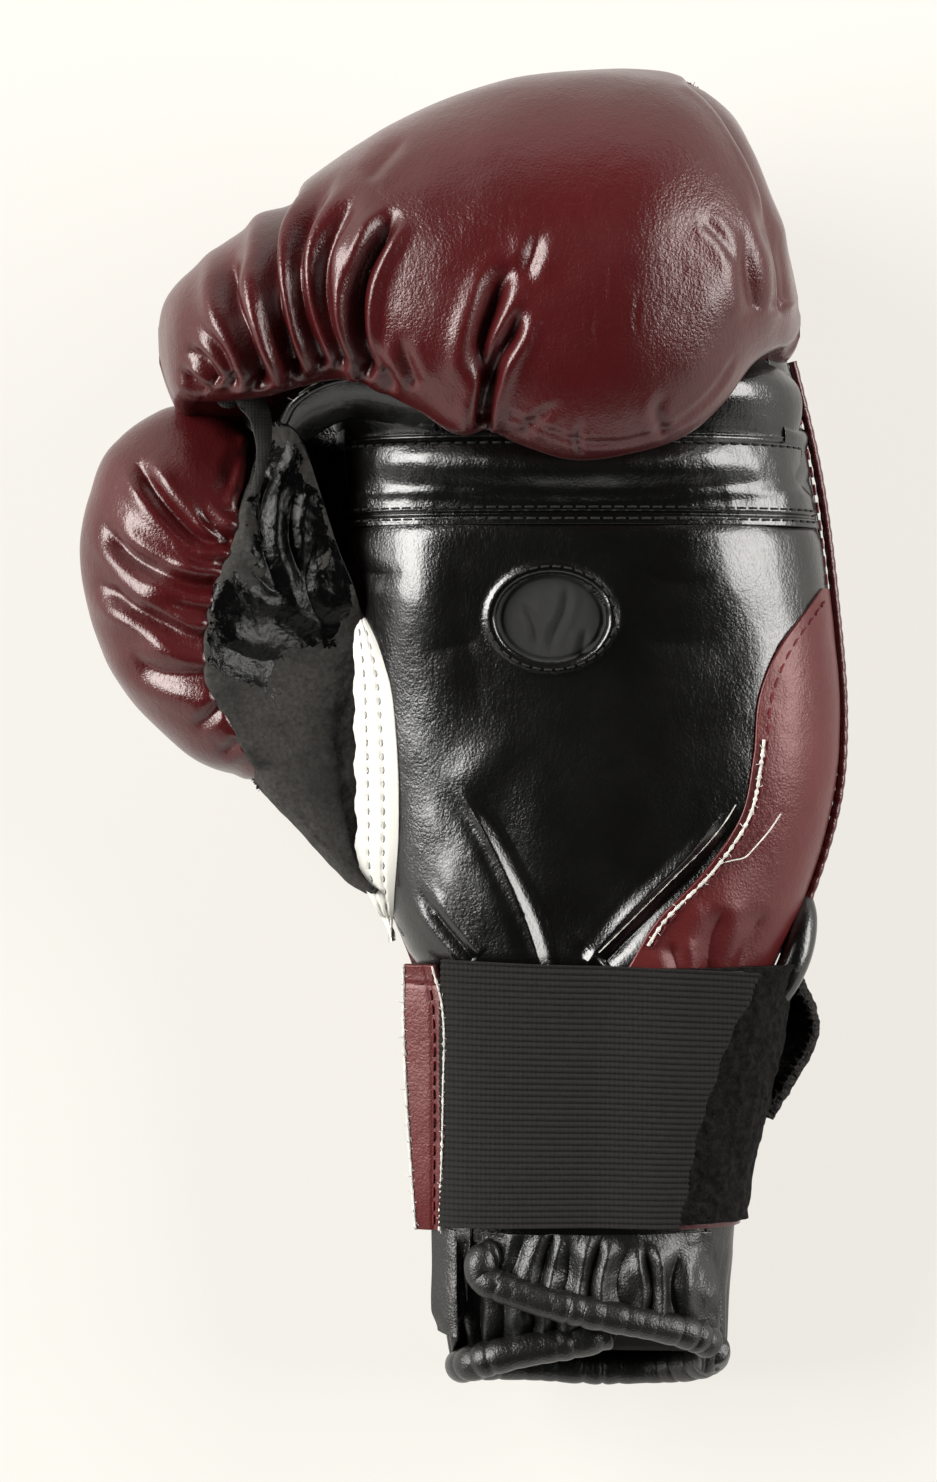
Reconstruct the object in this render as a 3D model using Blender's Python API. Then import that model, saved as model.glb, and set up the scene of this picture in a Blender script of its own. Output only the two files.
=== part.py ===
"""A boxing glove for the left hand, lying on its back with the palm up.

The frame: +X runs from the thumb side to the little-finger side, +Y from the cuff to the knuckles,
and +Z up out of the palm. The origin is on the floor, under the middle of the glove's box.
All sizes below are in millimetres, and each mesh is made in metres.

The glove is built on two forms. The trunk is the sleeve from the cuff's mouth to the knuckles: an oval
section at each y. The fist is the padded mitt that curls over the fingers: a hooked section at each x.
Leather panels are layers of those forms, cut to their outlines, and the foam and lining fill them.
"""

import math

import bmesh
import bpy
import numpy as np
from mathutils import Vector

MM = 0.001

# Driving dimensions, in millimetres.
LEATHER = 1.5
GAP = 0.3
CLEARANCE = 0.6
STRAP_TOP_Y = -53.8
STRAP_WIDTH = 60.0
STRAP_END_Y = STRAP_TOP_Y - STRAP_WIDTH
CUFF_TOP_Y = -55.0
PALM_TOP_Y = 47.6
STRIP_TOP_Y = 27.4
GRIP_BAR_TOP_Y = 67.0
GRIP_BAR_HEIGHT = 7.0
SIDE_SEAM_Z = 34.5
WEBBING = 1.4
ROLL_RADIUS = 2.8

# The trunk: y, left x, right x, lowest z, highest z, power of the oval.
TRUNK = (
    (-151.0, -2.5, 60.0, 12.0, 47.0, 2.4),
    (-135.0, -5.0, 61.5, 11.0, 51.0, 2.4),
    (-118.0, -7.2, 62.3, 10.0, 54.6, 2.4),
    (-90.0, -8.9, 65.8, 8.6, 57.0, 2.45),
    (-58.0, -11.0, 70.5, 7.0, 59.6, 2.5),
    (-40.0, -17.6, 78.4, 5.0, 61.0, 2.6),
    (-16.0, -21.6, 85.6, 3.0, 62.5, 2.7),
    (2.0, -24.8, 87.0, 1.2, 63.5, 2.7),
    (32.0, -28.0, 84.8, 0.0, 65.0, 2.7),
    (60.0, -30.0, 81.0, 0.0, 66.0, 2.6),
    (90.0, -30.0, 74.0, 3.0, 66.0, 2.4),
)

# The fist: x, front y, lip y, lowest z, highest z, depth of the tuck under the lip (0 none, 1 full).
FIST = (
    (-69.0, 95.0, 84.0, 49.0, 55.0, 0.0),
    (-67.0, 100.0, 79.0, 33.0, 70.0, 0.0),
    (-60.0, 107.0, 76.5, 19.0, 80.0, 0.0),
    (-46.0, 118.0, 78.0, 8.0, 90.0, 0.2),
    (-26.0, 132.0, 81.0, 2.5, 100.0, 0.8),
    (-3.0, 145.0, 70.5, 0.5, 106.0, 1.0),
    (20.0, 150.6, 65.0, 0.3, 108.0, 1.0),
    (36.0, 151.6, 64.0, 1.0, 107.5, 1.0),
    (52.0, 148.5, 69.0, 4.0, 102.0, 0.9),
    (63.0, 136.0, 82.0, 11.0, 93.0, 0.5),
    (71.0, 116.0, 88.0, 24.0, 78.0, 0.0),
    (75.5, 97.0, 91.0, 48.0, 55.0, 0.0),
)

# The thumb: x and y of the section's centre, half its width, half its height.
THUMB = (
    (-27.5, -35.0, 5.0, 9.0),
    (-35.4, -19.3, 10.8, 16.0),
    (-45.4, -2.0, 18.2, 21.0),
    (-54.6, 16.3, 24.6, 24.0),
    (-59.6, 34.7, 28.4, 25.0),
    (-61.6, 50.8, 25.6, 24.0),
    (-60.6, 63.0, 17.5, 19.0),
    (-59.8, 69.5, 8.0, 11.0),
)
THUMB_Z = 36.0

# The hand's pocket inside the lining: y, left x, right x, lowest z, highest z, lean towards the palm.
POCKET = (
    (-131.0, 2.5, 56.0, 21.5, 43.5, 40.0),
    (-112.0, 0.5, 56.5, 21.0, 47.5, 20.0),
    (-85.0, -0.5, 58.0, 20.5, 50.5, 0.0),
    (-56.0, -1.5, 61.0, 22.0, 52.5, 0.0),
    (-16.0, -8.0, 72.0, 31.0, 56.0, 0.0),
    (40.0, -15.0, 72.0, 33.0, 58.5, 0.0),
    (76.0, -18.0, 66.0, 34.0, 60.0, 0.0),
    (100.0, -12.0, 60.0, 38.0, 68.0, -25.0),
    (115.0, 2.0, 52.0, 54.0, 76.0, -60.0),
)
LINING = 1.2

# Borders on the palm, as (y, x) from the wrist up.
PALM_RIGHT = ((-54, 38.6), (-43.5, 45), (-32, 55), (-16, 64.6), (-4.4, 67), (7, 68.5), (16, 71.5), (32, 84.4))
STRIP_RIGHT = ((-54, -14.2), (-39, -15.2), (-27.4, -14.4), (-6.7, -14.2), (7, -15.4), (18.6, -18.4), (28, -23.4))
STRIP_LEFT = ((-54, -14.4), (-46, -15.6), (-36.6, -17.0), (-27.4, -18.4), (-6.7, -20.6), (7, -21.8), (28, -24.2))
VENT = (20.9, 26.0)
VENT_RADII = (12.3, 10.1)

# Joint axes, in millimetres.
THUMB_PIVOT = (-27.0, -38.0, THUMB_Z)
STRAP_SEAM_X = -5.2
FLAP_SEAM_X = 54.6


# ---------------------------------------------------------------- curves and forms


def along(table, key):
    """The other columns of a table at a value of its first, on a smooth curve through its rows."""
    rows = np.array(table, float)
    keys, values = rows[:, 0], rows[:, 1:]
    key = min(max(key, keys[0]), keys[-1])
    i = min(int(np.searchsorted(keys, key, side="right")) - 1, len(keys) - 2)
    slopes = np.diff(values, axis=0) / np.diff(keys)[:, None]
    before = slopes[max(i - 1, 0)]
    after = slopes[min(i + 1, len(slopes) - 1)]
    span = keys[i + 1] - keys[i]
    t = (key - keys[i]) / span
    start = 0.5 * (before + slopes[i]) * span
    end = 0.5 * (slopes[i] + after) * span
    return (
        values[i] * (2 * t**3 - 3 * t**2 + 1)
        + start * (t**3 - 2 * t**2 + t)
        + values[i + 1] * (3 * t**2 - 2 * t**3)
        + end * (t**3 - t**2)
    )


def border(points):
    """A border's x as a function of y."""
    return lambda y: float(along(points, y)[0])


def ease(share):
    share = min(max(share, 0.0), 1.0)
    return share * share * (3 - 2 * share)


def bow(value, power):
    """A cosine or sine raised to a power, keeping its sign."""
    return math.copysign(abs(value) ** power, value)


def oval(left, right, low, high, power, angle, grow=0.0):
    """The (x, z) of a superellipse at an angle: 0 at the right, a quarter turn at the top."""
    half_x, half_z = (right - left) / 2 + grow, (high - low) / 2 + grow
    x = (left + right) / 2 + half_x * bow(math.cos(angle), 2 / power)
    z = (low + high) / 2 + half_z * bow(math.sin(angle), 2 / power)
    return x, z


def trunk_point(y, angle, grow=0.0):
    left, right, low, high, power = along(TRUNK, y)
    x, z = oval(left, right, low, high, power, angle, grow)
    return x, y, z


def angle_at_x(y, x, grow=0.0):
    """The angle of the trunk's palm side at an x."""
    left, right, _, _, power = along(TRUNK, y)
    share = (x - (left + right) / 2) / ((right - left) / 2 + grow)
    share = min(max(share, -0.999), 0.999)
    return math.acos(bow(share, power / 2))


def angle_at_z(y, z, side):
    """The angle of the trunk's right (side 1) or left (side -1) at a height."""
    _, _, low, high, power = along(TRUNK, y)
    share = (z - (low + high) / 2) / ((high - low) / 2)
    angle = math.asin(bow(min(max(share, -0.99), 0.99), power / 2))
    return angle if side > 0 else math.pi - angle


# ---------------------------------------------------------------- meshes


def link(name, mesh, material):
    thing = bpy.data.objects.new(name, mesh)
    bpy.context.scene.collection.objects.link(thing)
    if material is not None:
        mesh.materials.append(material)
    return thing


def solid(name, points, faces, material):
    """An object from points in millimetres and faces that close it."""
    mesh = bpy.data.meshes.new(name)
    mesh.from_pydata([[c * MM for c in p] for p in points], [], faces)
    form = bmesh.new()
    form.from_mesh(mesh)
    bmesh.ops.recalc_face_normals(form, faces=form.faces)
    if form.calc_volume(signed=True) < 0:
        bmesh.ops.reverse_faces(form, faces=form.faces)
    form.to_mesh(mesh)
    form.free()
    mesh.shade_smooth()
    mesh.set_sharp_from_angle(angle=math.radians(50))
    return link(name, mesh, material)


def loft(name, rings, material=None):
    """A solid through closed rings with the same count of points, capped at both ends."""
    count = len(rings[0])
    faces = []
    for i in range(len(rings) - 1):
        for j in range(count):
            k = (j + 1) % count
            faces.append((i * count + j, i * count + k, (i + 1) * count + k, (i + 1) * count + j))
    faces.append(tuple(range(count)))
    faces.append(tuple((len(rings) - 1) * count + j for j in range(count)))
    return solid(name, [p for ring in rings for p in ring], faces, material)


def sheet(name, outer, inner, material):
    """A solid between two grids of points of the same size, closed round its edge."""
    rows, columns = len(outer), len(outer[0])
    size = rows * columns
    faces = []
    for i in range(rows - 1):
        for j in range(columns - 1):
            a, b = i * columns + j, i * columns + j + 1
            c, d = b + columns, a + columns
            faces.append((a, b, c, d))
            faces.append((size + d, size + c, size + b, size + a))
    rim = [j for j in range(columns)]
    rim += [i * columns + columns - 1 for i in range(1, rows)]
    rim += [(rows - 1) * columns + j for j in range(columns - 2, -1, -1)]
    rim += [i * columns for i in range(rows - 2, 0, -1)]
    for a, b in zip(rim, rim[1:] + rim[:1]):
        faces.append((b, a, size + a, size + b))
    points = [p for row in outer for p in row] + [p for row in inner for p in row]
    return solid(name, points, faces, material)


def wrap(name, material, ys, first, last, outer, inner, columns):
    """A layer of the trunk between two angles, as functions of y. outer and inner are the distances of
    its faces from the trunk, each a number or a function of y and of the angle."""

    def grid(away):
        rows = []
        for y in ys:
            row = []
            for j in range(columns + 1):
                share = j / columns
                angle = first(y) * (1 - share) + last(y) * share
                grow = away(y, angle) if callable(away) else away
                row.append(trunk_point(y, angle, grow))
            rows.append(row)
        return rows

    return sheet(name, grid(outer), grid(inner), material)


def ribbon(name, points, wide, thick, up, material, sides=8):
    """A rope of an oval section along points. up is the direction of its thickness."""
    path = np.array(points, float)
    rings = []
    for i, centre in enumerate(path):
        way = path[min(i + 1, len(path) - 1)] - path[max(i - 1, 0)]
        way /= np.linalg.norm(way)
        across = np.cross(way, up)
        across /= np.linalg.norm(across)
        rise = np.cross(across, way)
        turn = spread(0, 2 * math.pi, sides)[:-1]
        rings.append(
            [tuple(centre + across * wide / 2 * math.cos(a) + rise * thick / 2 * math.sin(a)) for a in turn]
        )
    return loft(name, rings, material)


def box(x0, x1, y0, y1, z0, z1):
    points = [(x, y, z) for x in (x0, x1) for y in (y0, y1) for z in (z0, z1)]
    faces = [(0, 1, 3, 2), (4, 6, 7, 5), (0, 4, 5, 1), (2, 3, 7, 6), (0, 2, 6, 4), (1, 5, 7, 3)]
    return solid("cutter", points, faces, None)


def combine(target, other, operation):
    """Applies a Boolean to the target and removes the other object."""
    modifier = target.modifiers.new("cut", "BOOLEAN")
    modifier.object = other
    modifier.operation = operation
    modifier.solver = "EXACT"
    graph = bpy.context.evaluated_depsgraph_get()
    made = bpy.data.meshes.new_from_object(target.evaluated_get(graph))
    target.modifiers.clear()
    target.data = made
    bpy.data.objects.remove(other)
    return target


def cut(target, *others):
    for other in others:
        combine(target, other, "DIFFERENCE")
    return target


def spread(first, last, count):
    return [first + (last - first) * i / count for i in range(count + 1)]


# ---------------------------------------------------------------- the forms as solids


def trunk(grow, first_y=CUFF_TOP_Y, last_y=86.0, name="trunk", material=None):
    ys = spread(first_y, last_y, 8)
    turn = spread(0, 2 * math.pi, 22)[:-1]
    return loft(name, [[trunk_point(y, a, grow) for a in turn] for y in ys], material)


def hooked_section(x, grow):
    """The fist's closed section at an x: over the back, round the front and down to the lip."""
    first, last = FIST[0][0], FIST[-1][0]
    share = (x - first + grow) / (last - first + 2 * grow)
    front, lip, low, high, tuck = along(FIST, first + (last - first) * share)
    front, lip, low, high = front + grow, lip - grow, low - grow, high + grow
    width, height = front - lip, high - low
    depth = 0.13 * width * tuck
    corners = [
        (lip - 2 - 8 * tuck, low + 0.13 * height),
        (lip + 0.28 * width, low),
        (lip + 0.62 * width, low + 0.03 * height),
        (front - 0.15 * width, low + 0.14 * height),
        (front - 0.03 * width, low + 0.34 * height),
        (front, low + 0.52 * height),
        (front - 0.07 * width, low + 0.74 * height),
        (front - 0.24 * width, low + 0.91 * height),
        (front - 0.50 * width, high),
        (lip + 0.20 * width, high - 0.03 * height),
        (lip + 0.04 * width, high - 0.11 * height),
        (lip, low + 0.80 * height),
        (lip + 0.45 * depth, low + 0.70 * height),
        (lip + depth, low + 0.58 * height),
        (lip - 2 * (1 - tuck), low + 0.42 * height),
    ]
    return smooth_loop(corners, 22, x)


def smooth_loop(corners, count, x):
    """Points evenly spaced along a closed curve through (y, z) corners, in the plane of an x."""
    knots = np.array(corners, float)
    fine = []
    for i in range(len(knots)):
        a, b, c, d = (knots[(i + k) % len(knots)] for k in (-1, 0, 1, 2))
        for t in np.arange(8) / 8:
            fine.append(
                0.5 * (2 * b + (c - a) * t + (2 * a - 5 * b + 4 * c - d) * t**2 + (3 * b - a - 3 * c + d) * t**3)
            )
    fine = np.array(fine + fine[:1])
    run = np.concatenate([[0], np.cumsum(np.linalg.norm(np.diff(fine, axis=0), axis=1))])
    at = np.linspace(0, run[-1], count, endpoint=False)
    return [(x, float(np.interp(s, run, fine[:, 0])), float(np.interp(s, run, fine[:, 1]))) for s in at]


def fist(grow, name="fist", material=None):
    first, last = FIST[0][0] - grow, FIST[-1][0] + grow
    turn = spread(0, math.pi, 14)
    xs = [(first + last) / 2 - (last - first) / 2 * math.cos(a) for a in turn]
    return loft(name, [hooked_section(x, grow) for x in xs], material)


def thumb_rings(grow):
    """Sections across the thumb's curved centre line, from the root to the tip."""
    rows = np.array([(i, *row) for i, row in enumerate(THUMB)], float)
    rings = []
    for step in spread(0, len(THUMB) - 1, 10):
        x, y, wide, high = along(rows, step)
        ahead, behind = along(rows, step + 0.1)[:2], along(rows, step - 0.1)[:2]
        way = (ahead - behind) / np.linalg.norm(ahead - behind)
        ring = []
        for angle in spread(0, 2 * math.pi, 16)[:-1]:
            out, up = oval(-wide, wide, THUMB_Z - high, THUMB_Z + high, 2.2, angle, grow)
            ring.append((x + out * way[1], y - out * way[0], up))
        rings.append(ring)
    rings[0] = [tuple(np.array(p) - np.array((*way_of(rows, 0), 0)) * grow) for p in rings[0]]
    last = len(THUMB) - 1
    rings[-1] = [tuple(np.array(p) + np.array((*way_of(rows, last), 0)) * grow) for p in rings[-1]]
    return rings


def way_of(rows, step):
    ahead, behind = along(rows, step + 0.1)[:2], along(rows, step - 0.1)[:2]
    return (ahead - behind) / np.linalg.norm(ahead - behind)


def pocket(grow, name="pocket", material=None, reach=0.0):
    """The hand's pocket as a solid. Its rings lean over at the cuff's mouth and where the fingers curl."""
    return loft(name, pocket_rings(grow, reach), material)


def pocket_rings(grow, reach=0.0):
    rings = []
    for y in spread(POCKET[0][0], POCKET[-1][0], 12):
        left, right, low, high, lean = along(POCKET, y)
        tilt, middle = math.radians(lean), (low + high) / 2
        ring = []
        for angle in spread(0, 2 * math.pi, 18)[:-1]:
            x, z = oval(left, right, low, high, 2.4, angle, grow)
            ring.append((x, y + (z - middle) * math.sin(tilt), middle + (z - middle) * math.cos(tilt)))
        rings.append(ring)
    last_tilt = math.radians(POCKET[-1][5])
    ahead = np.array((0, math.cos(last_tilt), -math.sin(last_tilt))) * grow
    rings[-1] = [tuple(np.array(p) + ahead) for p in rings[-1]]
    if reach:
        ends = [(np.array(a), np.array(b)) for a, b in zip(rings[0], rings[1])]
        rings[0] = [tuple(a + (a - b) * reach) for a, b in ends]
    return rings


def thumb_way(grow, name="thumb_way", material=None):
    """The tunnel the thumb goes down, from the hand's pocket into the thumb."""
    path = ((-3, -9), (-16, -1), (-29, 6), (-42, 16), (-52, 30), (-57, 44))
    radii = (9.4, 9.4, 9.4, 12.0, 12.0, 8.0)
    rings = []
    for i, (x, y) in enumerate(path):
        before, after = path[max(i - 1, 0)], path[min(i + 1, len(path) - 1)]
        way = np.array((after[0] - before[0], after[1] - before[1]), float)
        way /= np.linalg.norm(way)
        radius = radii[i] + grow
        ring = []
        for angle in spread(0, 2 * math.pi, 14)[:-1]:
            out = radius * math.cos(angle)
            ring.append((x + out * way[1], y - out * way[0], THUMB_Z - 1 + radius * math.sin(angle)))
        rings.append(ring)
    return loft(name, rings, material)


# ---------------------------------------------------------------- materials


def paint(name, colour, roughness, metallic=0.0):
    material = bpy.data.materials.new(name)
    material.use_nodes = True
    surface = material.node_tree.nodes["Principled BSDF"]
    surface.inputs["Base Color"].default_value = (*colour, 1)
    surface.inputs["Roughness"].default_value = roughness
    surface.inputs["Metallic"].default_value = metallic
    return material


def clear_scene():
    for thing in list(bpy.data.objects):
        bpy.data.objects.remove(thing)


clear_scene()
maroon = paint("maroon_leather", (0.085, 0.006, 0.012), 0.30)
black = paint("black_leather", (0.006, 0.006, 0.006), 0.28)
grey = paint("grey_suede", (0.11, 0.10, 0.095), 0.85)
white = paint("white_leather", (0.78, 0.77, 0.72), 0.55)
foam = paint("foam", (0.10, 0.10, 0.11), 0.95)
satin = paint("lining_fabric", (0.10, 0.10, 0.10), 0.80)
mesh_cloth = paint("vent_mesh", (0.012, 0.012, 0.012), 0.90)
elastic = paint("elastic_webbing", (0.015, 0.015, 0.014), 0.85)
fuzz = paint("loop_fabric", (0.008, 0.008, 0.008), 0.95)
hooks = paint("hook_plastic", (0.010, 0.010, 0.010), 0.60)
webbing = paint("tether_webbing", (0.07, 0.07, 0.065), 0.85)


# ---------------------------------------------------------------- the fist and the thumb


def less_fist(thing):
    """Cuts a piece of the trunk back to just clear of the fist."""
    return cut(thing, fist(CLEARANCE))


fist_leather = fist(0.0, "fist_leather", maroon)
cut(fist_leather, fist(-LEATHER), pocket(LINING + CLEARANCE))

fist_padding = fist(-LEATHER - 2.6 * CLEARANCE, "fist_padding", foam)
cut(fist_padding, pocket(LINING + CLEARANCE))

thumb_leather = loft("thumb_leather", thumb_rings(0.0), maroon)
cut(thumb_leather, loft("inside", thumb_rings(-LEATHER)), thumb_way(0.0))

thumb_padding = loft("thumb_padding", thumb_rings(-LEATHER - CLEARANCE), foam)
cut(thumb_padding, thumb_way(0.0))


# ---------------------------------------------------------------- the lining and the hand's padding

hand_lining = pocket(LINING, "hand_lining", satin)
cut(hand_lining, pocket(0.0, reach=1.5), thumb_way(0.0))

# The cuff's mouth is cut on a slant: the palm side is shorter than the back.
MOUTH = ((-170, 20), (-170, 80), (-112, 80), (-121, 52), (-132, 40), (-141, 32), (-146, 20))


def prism(profile, x0, x1):
    return loft("prism", [[(x, y, z) for y, z in profile] for x in (x0, x1)])


hand_padding = trunk(-LEATHER - 1.5 * CLEARANCE, CUFF_TOP_Y + GAP, 86.0, "hand_padding", foam)
cut(hand_padding, pocket(LINING + CLEARANCE), thumb_way(0.0))
less_fist(hand_padding)

cuff_padding = trunk(-LEATHER - CLEARANCE, -145.0, CUFF_TOP_Y, "cuff_padding", foam)
cut(cuff_padding, pocket(LINING + 2 * CLEARANCE, reach=1.5), prism(MOUTH, -40, 100))


# ---------------------------------------------------------------- panels of the palm and the back

palm_right = border(PALM_RIGHT)
strip_right = border(STRIP_RIGHT)
strip_left = border(STRIP_LEFT)


def right_seam(y, above=0.0):
    return angle_at_z(y, SIDE_SEAM_Z + above, 1)


def left_seam(y, above=0.0):
    return angle_at_z(y, SIDE_SEAM_Z + above, -1)


def palm_start(y):
    """The palm's right edge: a curved seam, then just inside the glove's side."""
    if y < 30:
        return angle_at_x(y, palm_right(y))
    return right_shoulder(y)


def right_shoulder(y):
    return angle_at_x(y, along(TRUNK, y)[1] - 3.5)


def palm_end(y):
    """The palm's left edge: the white strip, then the edge by the thumb's opening."""
    if y <= STRIP_TOP_Y:
        return angle_at_x(y, strip_right(y) + 1.5 * GAP)
    return angle_at_x(y, along(TRUNK, y)[0] + 3.5)


low_y, top_y = CUFF_TOP_Y + GAP, 86.0
palm_ys = spread(low_y, STRIP_TOP_Y, 12) + spread(STRIP_TOP_Y + 1, PALM_TOP_Y - GAP, 4)
palm_panel = wrap("palm_panel", black, palm_ys, palm_start, palm_end, 0.0, -LEATHER, 14)


def vent(grow, z0, z1, name, material=None):
    rings = []
    for z in (z0, z1):
        ring = []
        for angle in spread(0, 2 * math.pi, 22)[:-1]:
            x = VENT[0] + (VENT_RADII[0] + grow) * math.cos(angle)
            ring.append((x, VENT[1] + (VENT_RADII[1] + grow) * math.sin(angle), z))
        rings.append(ring)
    return loft(name, rings, material)


cut(palm_panel, vent(0.0, 56, 72, "hole"))
cut(hand_padding, vent(2.0, 59, 72, "hole"))
vent_lining = vent(1.6, 60.5, 61.7, "vent_lining", mesh_cloth)

white_trim = wrap(
    "white_trim",
    white,
    spread(-44, STRIP_TOP_Y, 12),
    lambda y: angle_at_x(y, strip_right(y)),
    lambda y: angle_at_x(y, strip_left(y)),
    0.0,
    -LEATHER,
    2,
)

side_panel = wrap(
    "side_panel",
    maroon,
    spread(low_y, 29.8, 11),
    lambda y: right_seam(y, GAP),
    lambda y: angle_at_x(y, palm_right(y) + GAP),
    0.0,
    -LEATHER,
    6,
)

shoulder_panel = wrap(
    "shoulder_panel",
    black,
    spread(30.2, top_y, 8),
    lambda y: right_seam(y, GAP),
    lambda y: angle_at_x(y, along(TRUNK, y)[1] - 3.2),
    0.0,
    -LEATHER,
    5,
)
less_fist(shoulder_panel)

back_panel = wrap(
    "back_panel",
    maroon,
    spread(low_y, top_y, 10),
    left_seam,
    lambda y: 2 * math.pi + right_seam(y),
    0.0,
    -LEATHER,
    18,
)
less_fist(cut(back_panel, thumb_way(0.0)))


def web_start(y):
    if y <= STRIP_TOP_Y:
        return angle_at_x(y, strip_left(y) - GAP)
    return angle_at_x(y, along(TRUNK, y)[0] + 3.2)


thumb_web = wrap(
    "thumb_web_panel",
    black,
    spread(low_y, STRIP_TOP_Y, 9) + spread(STRIP_TOP_Y + 1, top_y, 5),
    web_start,
    lambda y: left_seam(y, GAP),
    0.0,
    -LEATHER,
    6,
)
less_fist(cut(thumb_web, thumb_way(0.0)))


# ---------------------------------------------------------------- the grip bar and the panel above it


def bar_rise(y, edge=0.0):
    """The bar's height over the palm at a y: a round roll between its two seams."""
    low, high = PALM_TOP_Y + edge, GRIP_BAR_TOP_Y - edge
    share = (y - low) / (high - low)
    if share <= 0 or share >= 1:
        return 0.0
    return GRIP_BAR_HEIGHT * math.sin(math.pi * share) ** 0.6


def bar_end(y):
    return angle_at_x(y, along(TRUNK, y)[0] + 3.5)


grip_bar_cover = wrap(
    "grip_bar_cover",
    black,
    spread(PALM_TOP_Y, GRIP_BAR_TOP_Y, 8),
    right_shoulder,
    bar_end,
    lambda y, angle: bar_rise(y, 1.0),
    lambda y, angle: bar_rise(y, 1.0) - LEATHER,
    12,
)
grip_bar_core = wrap(
    "grip_bar_core",
    foam,
    spread(PALM_TOP_Y + 3.2, GRIP_BAR_TOP_Y - 3.2, 6),
    right_shoulder,
    bar_end,
    lambda y, angle: bar_rise(y, 3.0) * 0.85 - 1.0,
    -LEATHER,
    12,
)
upper_palm_panel = wrap(
    "upper_palm_panel",
    black,
    spread(GRIP_BAR_TOP_Y + GAP, top_y, 4),
    right_shoulder,
    bar_end,
    0.0,
    -LEATHER,
    12,
)
less_fist(upper_palm_panel)

edge_binding = ribbon(
    "palm_edge_binding",
    ((-37, 71, 68.2), (-31, 75, 69.0), (-22, 77.2, 69.2), (-14, 75.6, 69.2), (-8, 72, 69.0)),
    2.4,
    2.0,
    (0, 0, 1),
    black,
)


# ---------------------------------------------------------------- the thumb's gusset and tether


def thumb_top(x, y):
    """The height of the thumb's upper surface, near enough."""
    rows = sorted((row[1], row[0], row[2], row[3]) for row in THUMB)
    middle, wide, high = along(rows, y)
    share = min(abs(x - middle) / wide, 1.0)
    return THUMB_Z + high * (1 - share**2.2) ** (1 / 2.2)


GUSSET = (
    (-37.0, -29.5, -20.5),
    (-25.0, -36.0, -22.6),
    (-11.0, -46.5, -24.0),
    (9.4, -56.5, -24.6),
    (21.0, -59.0, -25.4),
    (32.0, -56.8, -26.4),
    (53.0, -50.5, -33.0),
    (64.0, -46.0, -39.0),
)


def gusset_grid(above):
    rows = []
    for y in spread(GUSSET[0][0], GUSSET[-1][0], 10):
        left, right = along(GUSSET, y)
        start = thumb_top(left, y) + 1.8
        end = along(TRUNK, y)[3] + 0.8
        row = []
        for share in spread(0, 1, 6):
            x = left + (right - left) * share
            sag = 2.2 * math.sin(math.pi * share) * ease((y + 37) / 30)
            row.append((x, y, start + (end - start) * share - sag + above))
        rows.append(row)
    return rows


thumb_gusset = sheet("thumb_gusset", gusset_grid(LEATHER), gusset_grid(0.0), grey)

thumb_tether = ribbon(
    "thumb_tether",
    ((-53, 60, 61.0), (-52, 65, 62.5), (-50, 70, 62.5), (-49, 74, 60)),
    9.0,
    1.8,
    (0, 0, 1),
    webbing,
)

side_welt = ribbon(
    "side_welt",
    [trunk_point(y, right_seam(y, GAP / 2), 1.6) for y in spread(-50, 52, 14)],
    2.4,
    2.4,
    (0, 0, 1),
    maroon,
)


# ---------------------------------------------------------------- the cuff

cuff_leather = wrap(
    "cuff_leather",
    black,
    spread(-145.4, CUFF_TOP_Y, 7),
    lambda y: angle_at_x(y, -1.5),
    lambda y: 2 * math.pi + angle_at_x(y, FLAP_SEAM_X),
    0.0,
    -LEATHER,
    26,
)
wrist_panel = wrap(
    "wrist_panel",
    black,
    spread(STRAP_END_Y + GAP, CUFF_TOP_Y, 4),
    lambda y: angle_at_x(y, FLAP_SEAM_X - GAP),
    lambda y: angle_at_x(y, -1.5 + GAP),
    0.0,
    -LEATHER,
    10,
)

# The flap's free edge: x, y.
FLAP_EDGE = ((1.5, -122.0), (6.0, -127.5), (16.0, -132.6), (30.0, -136.0), (44.0, -137.4), (54.3, -138.0))


def flap_point(x, share, grow):
    """A point of the cuff's flap: share 0 at its free edge, 1 under the strap."""
    low = border([(a, b) for a, b in FLAP_EDGE])(x)
    y = low + (STRAP_END_Y - GAP - 0.2 - low) * share
    return trunk_point(y, angle_at_x(y, x), grow)


flap_xs = spread(FLAP_EDGE[0][0], FLAP_EDGE[-1][0], 10)
cuff_flap = sheet(
    "cuff_flap",
    [[flap_point(x, share, 0.0) for share in spread(0, 1, 3)] for x in flap_xs],
    [[flap_point(x, share, -LEATHER) for share in spread(0, 1, 3)] for x in flap_xs],
    black,
)


def flap_edge_point(x):
    y = border([(a, b) for a, b in FLAP_EDGE])(x)
    below = along(FLAP_EDGE, x + 0.5)[0] - along(FLAP_EDGE, x - 0.5)[0]
    normal = np.array((below, -1.0)) / math.hypot(below, 1.0) * (ROLL_RADIUS * 0.8 + GAP + 0.3)
    point = trunk_point(y, angle_at_x(y, x), -0.4)
    return point[0] + normal[0], point[1] + normal[1], point[2]


flap_binding = ribbon(
    "flap_binding",
    [flap_edge_point(x) for x in spread(3.5, 53.5, 10)],
    ROLL_RADIUS * 1.6,
    ROLL_RADIUS * 1.6,
    (0, 0, 1),
    black,
)

mouth_y = -145.4 - GAP - 2.8
mouth_angles = spread(angle_at_x(mouth_y, -1.5), 2 * math.pi + angle_at_x(mouth_y, FLAP_SEAM_X), 28)
cuff_binding = ribbon(
    "cuff_binding",
    [trunk_point(mouth_y, angle, -1.0) for angle in mouth_angles],
    5.2,
    5.2,
    (0, 1, 0),
    black,
)


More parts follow.
